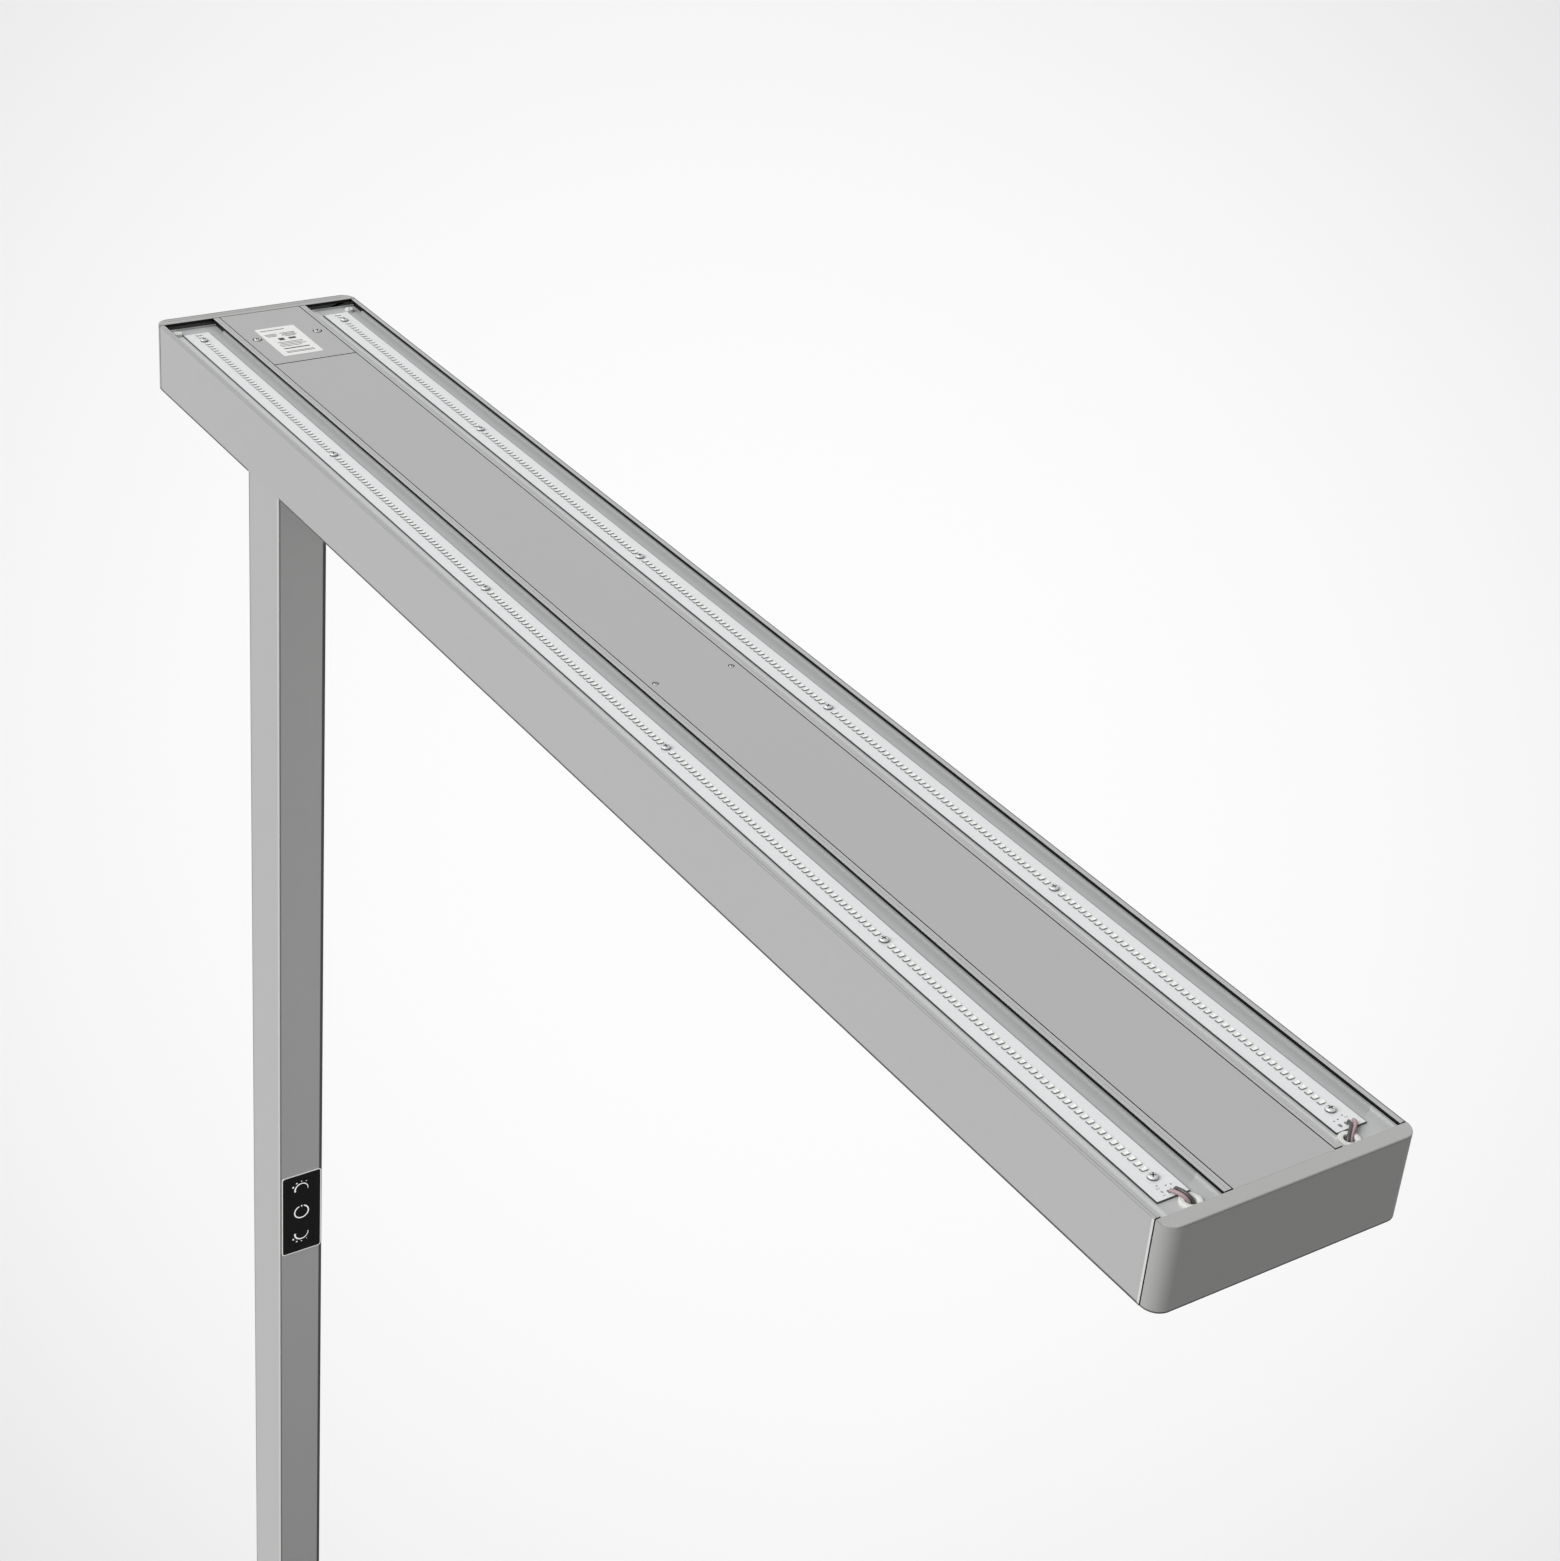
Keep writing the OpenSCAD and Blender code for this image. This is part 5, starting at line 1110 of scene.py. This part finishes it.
def makeGland():
    s = gland
    nut = glandBar(0, s["hexThick"], s["hex"], 6)
    softenEdges(nut, s["hexEdge"] * mm, 3, 20)
    dome = glandBar(s["hexThick"], s["domeLength"], s["dome"], s["ribs"] * 2)
    middleZ, endX = column["glandZ"] * mm, (columnLowX - s["hexThick"] - s["domeLength"]) * mm
    sides = [face for face in dome.data.polygons if abs(face.normal.x) < 0.5]
    sides.sort(key=lambda face: math.atan2(face.center.z - middleZ, face.center.y))
    pickNumbers(dome, "FACE", [face.index for face in sides[::2]])
    bpy.ops.mesh.inset(thickness=s["ribIn"] * mm, depth=-s["ribDeep"] * mm, use_individual=True)
    objectMode()
    bevelEdges(dome, lambda a, b: a.x < endX + tiny and b.x < endX + tiny, s["domeEdge"] * mm, 5)
    cutOut(dome, addBar((endX - mm, 0, middleZ), (1, 0, 0), 4 * mm, s["bore"] * mm, 32))
    thread = glandBar(-s["threadIn"], s["threadLength"], s["thread"])
    finishPiece(joinAll([dome, nut, thread]), "gland_shell", "gland_plastic", stands="gland_body")


makeGland()
print("base and gland done")

# Floor and world. The floor carries a painted pool of light: brightest at its centre, it darkens along and across
# the camera's view. Spread is the light part's width and how that grows, fall how much it darkens at its reach,
# least its end
stage = {"floor": 60, "bounce": "9f9f9f", "centre": (-2.365, 2.234, 0), "across": (0.555, 0.832, 0),
         "along": (-0.803, 0.596, 0), "spread": (5.75, 0.877), "narrowest": 1.5, "middle": (-0.0125, -0.0286),
         "squeeze": 0.48, "reach": 0.387, "curve": 2.75, "fall": 0.165, "least": 0.8, "blend": 0.1,
         "paper": 0.35, "glow": 0.63, "world": 0.31, "around": 0.79}


# One shader for what the camera and reflections see, another for the light that the rest gets
def mixBySight(tree, seen, thrown, output):
    path = addNode(tree, "ShaderNodeLightPath")
    direct = sums(tree, "MAXIMUM", path.outputs["Is Camera Ray"],
                  sums(tree, "MAXIMUM", path.outputs["Is Glossy Ray"], path.outputs["Is Transmission Ray"]))
    mix = addNode(tree, "ShaderNodeMixShader", {0: direct, 1: thrown.outputs[0], 2: seen.outputs[0]})
    tree.links.new(mix.outputs[0], tree.nodes[output].inputs["Surface"])


def greyOf(tree, level):
    return addNode(tree, "ShaderNodeCombineColor", {0: level, 1: level, 2: level}).outputs[0]


# The painted pool of light: how light the floor is at each point
def paintedFloorPool(tree):
    spot = vectorSum(tree, "SUBTRACT", objectPlace(tree), stage["centre"])
    across, along = [vectorSum(tree, "DOT_PRODUCT", spot, stage[way], "Value") for way in ("across", "along")]
    wide = sums(tree, "MULTIPLY_ADD", along, stage["spread"][1], stage["spread"][0])
    wide = sums(tree, "MAXIMUM", wide, stage["narrowest"])
    deep = sums(tree, "MULTIPLY", along, stage["squeeze"])
    sides = []
    for part, offset in zip((across, deep), stage["middle"]):
        off = sums(tree, "SUBTRACT", sums(tree, "DIVIDE", part, wide), offset)
        sides.append(sums(tree, "POWER", sums(tree, "ABSOLUTE", off), 2.0))
    ratio = sums(tree, "DIVIDE", sums(tree, "SQRT", sums(tree, "ADD", *sides)), stage["reach"])
    fall = sums(tree, "MULTIPLY", sums(tree, "POWER", ratio, stage["curve"]), -stage["fall"])
    return sums(tree, "SMOOTH_MAX", sums(tree, "ADD", fall, 1.0), stage["least"], stage["blend"])


# The camera sees a white floor that keeps the shadow; what it throws back on the lamp is grey
def makeFloor():
    bpy.ops.object.select_all(action="DESELECT")
    bpy.ops.mesh.primitive_plane_add(size=stage["floor"])
    floor = bpy.context.object
    floor.name = "floor"
    material = bpy.data.materials.new("floor_paper")
    material.use_nodes = True
    tree = material.node_tree
    tree.nodes.remove(tree.nodes["Principled BSDF"])
    poolLight = paintedFloorPool(tree)
    shadowed = greyOf(tree, sums(tree, "MULTIPLY", poolLight, stage["paper"]))
    paper = addNode(tree, "ShaderNodeBsdfDiffuse", {"Color": shadowed})
    glow = addNode(tree, "ShaderNodeEmission", {"Color": greyOf(tree, poolLight), "Strength": stage["glow"]})
    seen = addNode(tree, "ShaderNodeAddShader", {0: paper.outputs[0], 1: glow.outputs[0]})
    bounce = addNode(tree, "ShaderNodeBsdfDiffuse", {"Color": colourOf(stage["bounce"])})
    mixBySight(tree, seen, bounce, "Material Output")
    floor.data.materials.append(material)


def makeWorld():
    world = bpy.data.worlds.new("studio")
    bpy.context.scene.world = world
    world.use_nodes = True
    tree = world.node_tree
    tree.nodes.remove(tree.nodes["Background"])
    soft, white = [addNode(tree, "ShaderNodeBackground", {"Color": (1, 1, 1, 1), "Strength": stage[level]})
                   for level in ("world", "around")]
    mixBySight(tree, white, soft, "World Output")


# Two broad suns: where each stands, how strong and how soft it is, and whether reflections show it
suns = {
    "key": {"from": (-0.125, -0.75, 0.65), "level": 0.92, "soft": 50, "gloss": True},
    "back": {"from": (-0.8, 0.5, 0.35), "level": 0.25, "soft": 60, "gloss": False},
}

# A tall soft panel in front of the column, behind the plane of the front end cap
panelLamp = {"place": (0.8, 0.3, 1.48), "size": (0.6, 0.75), "power": 1.65}


def addLamp(kind, name, facing, energy):
    bpy.ops.object.select_all(action="DESELECT")
    bpy.ops.object.light_add(type=kind)
    lamp = bpy.context.object
    lamp.name = f"lamp_{name}"
    lamp.rotation_euler = Vector(facing).to_track_quat("Z", "Y").to_euler()
    lamp.data.energy = energy
    return lamp


def makeLamps():
    for name, spec in suns.items():
        sun = addLamp("SUN", name, spec["from"], spec["level"] * math.pi)
        sun.data.angle = math.radians(spec["soft"])
        sun.visible_glossy = spec["gloss"]
    panel = addLamp("AREA", "panel", (1, 0, 0), panelLamp["power"])
    panel.location = panelLamp["place"]
    panel.data.shape = "RECTANGLE"
    panel.data.size, panel.data.size_y = panelLamp["size"]
    panel.visible_camera = panel.visible_glossy = False


makeFloor()
makeWorld()
makeLamps()
bpy.context.scene.view_settings.view_transform = "Standard"
print("stage set")
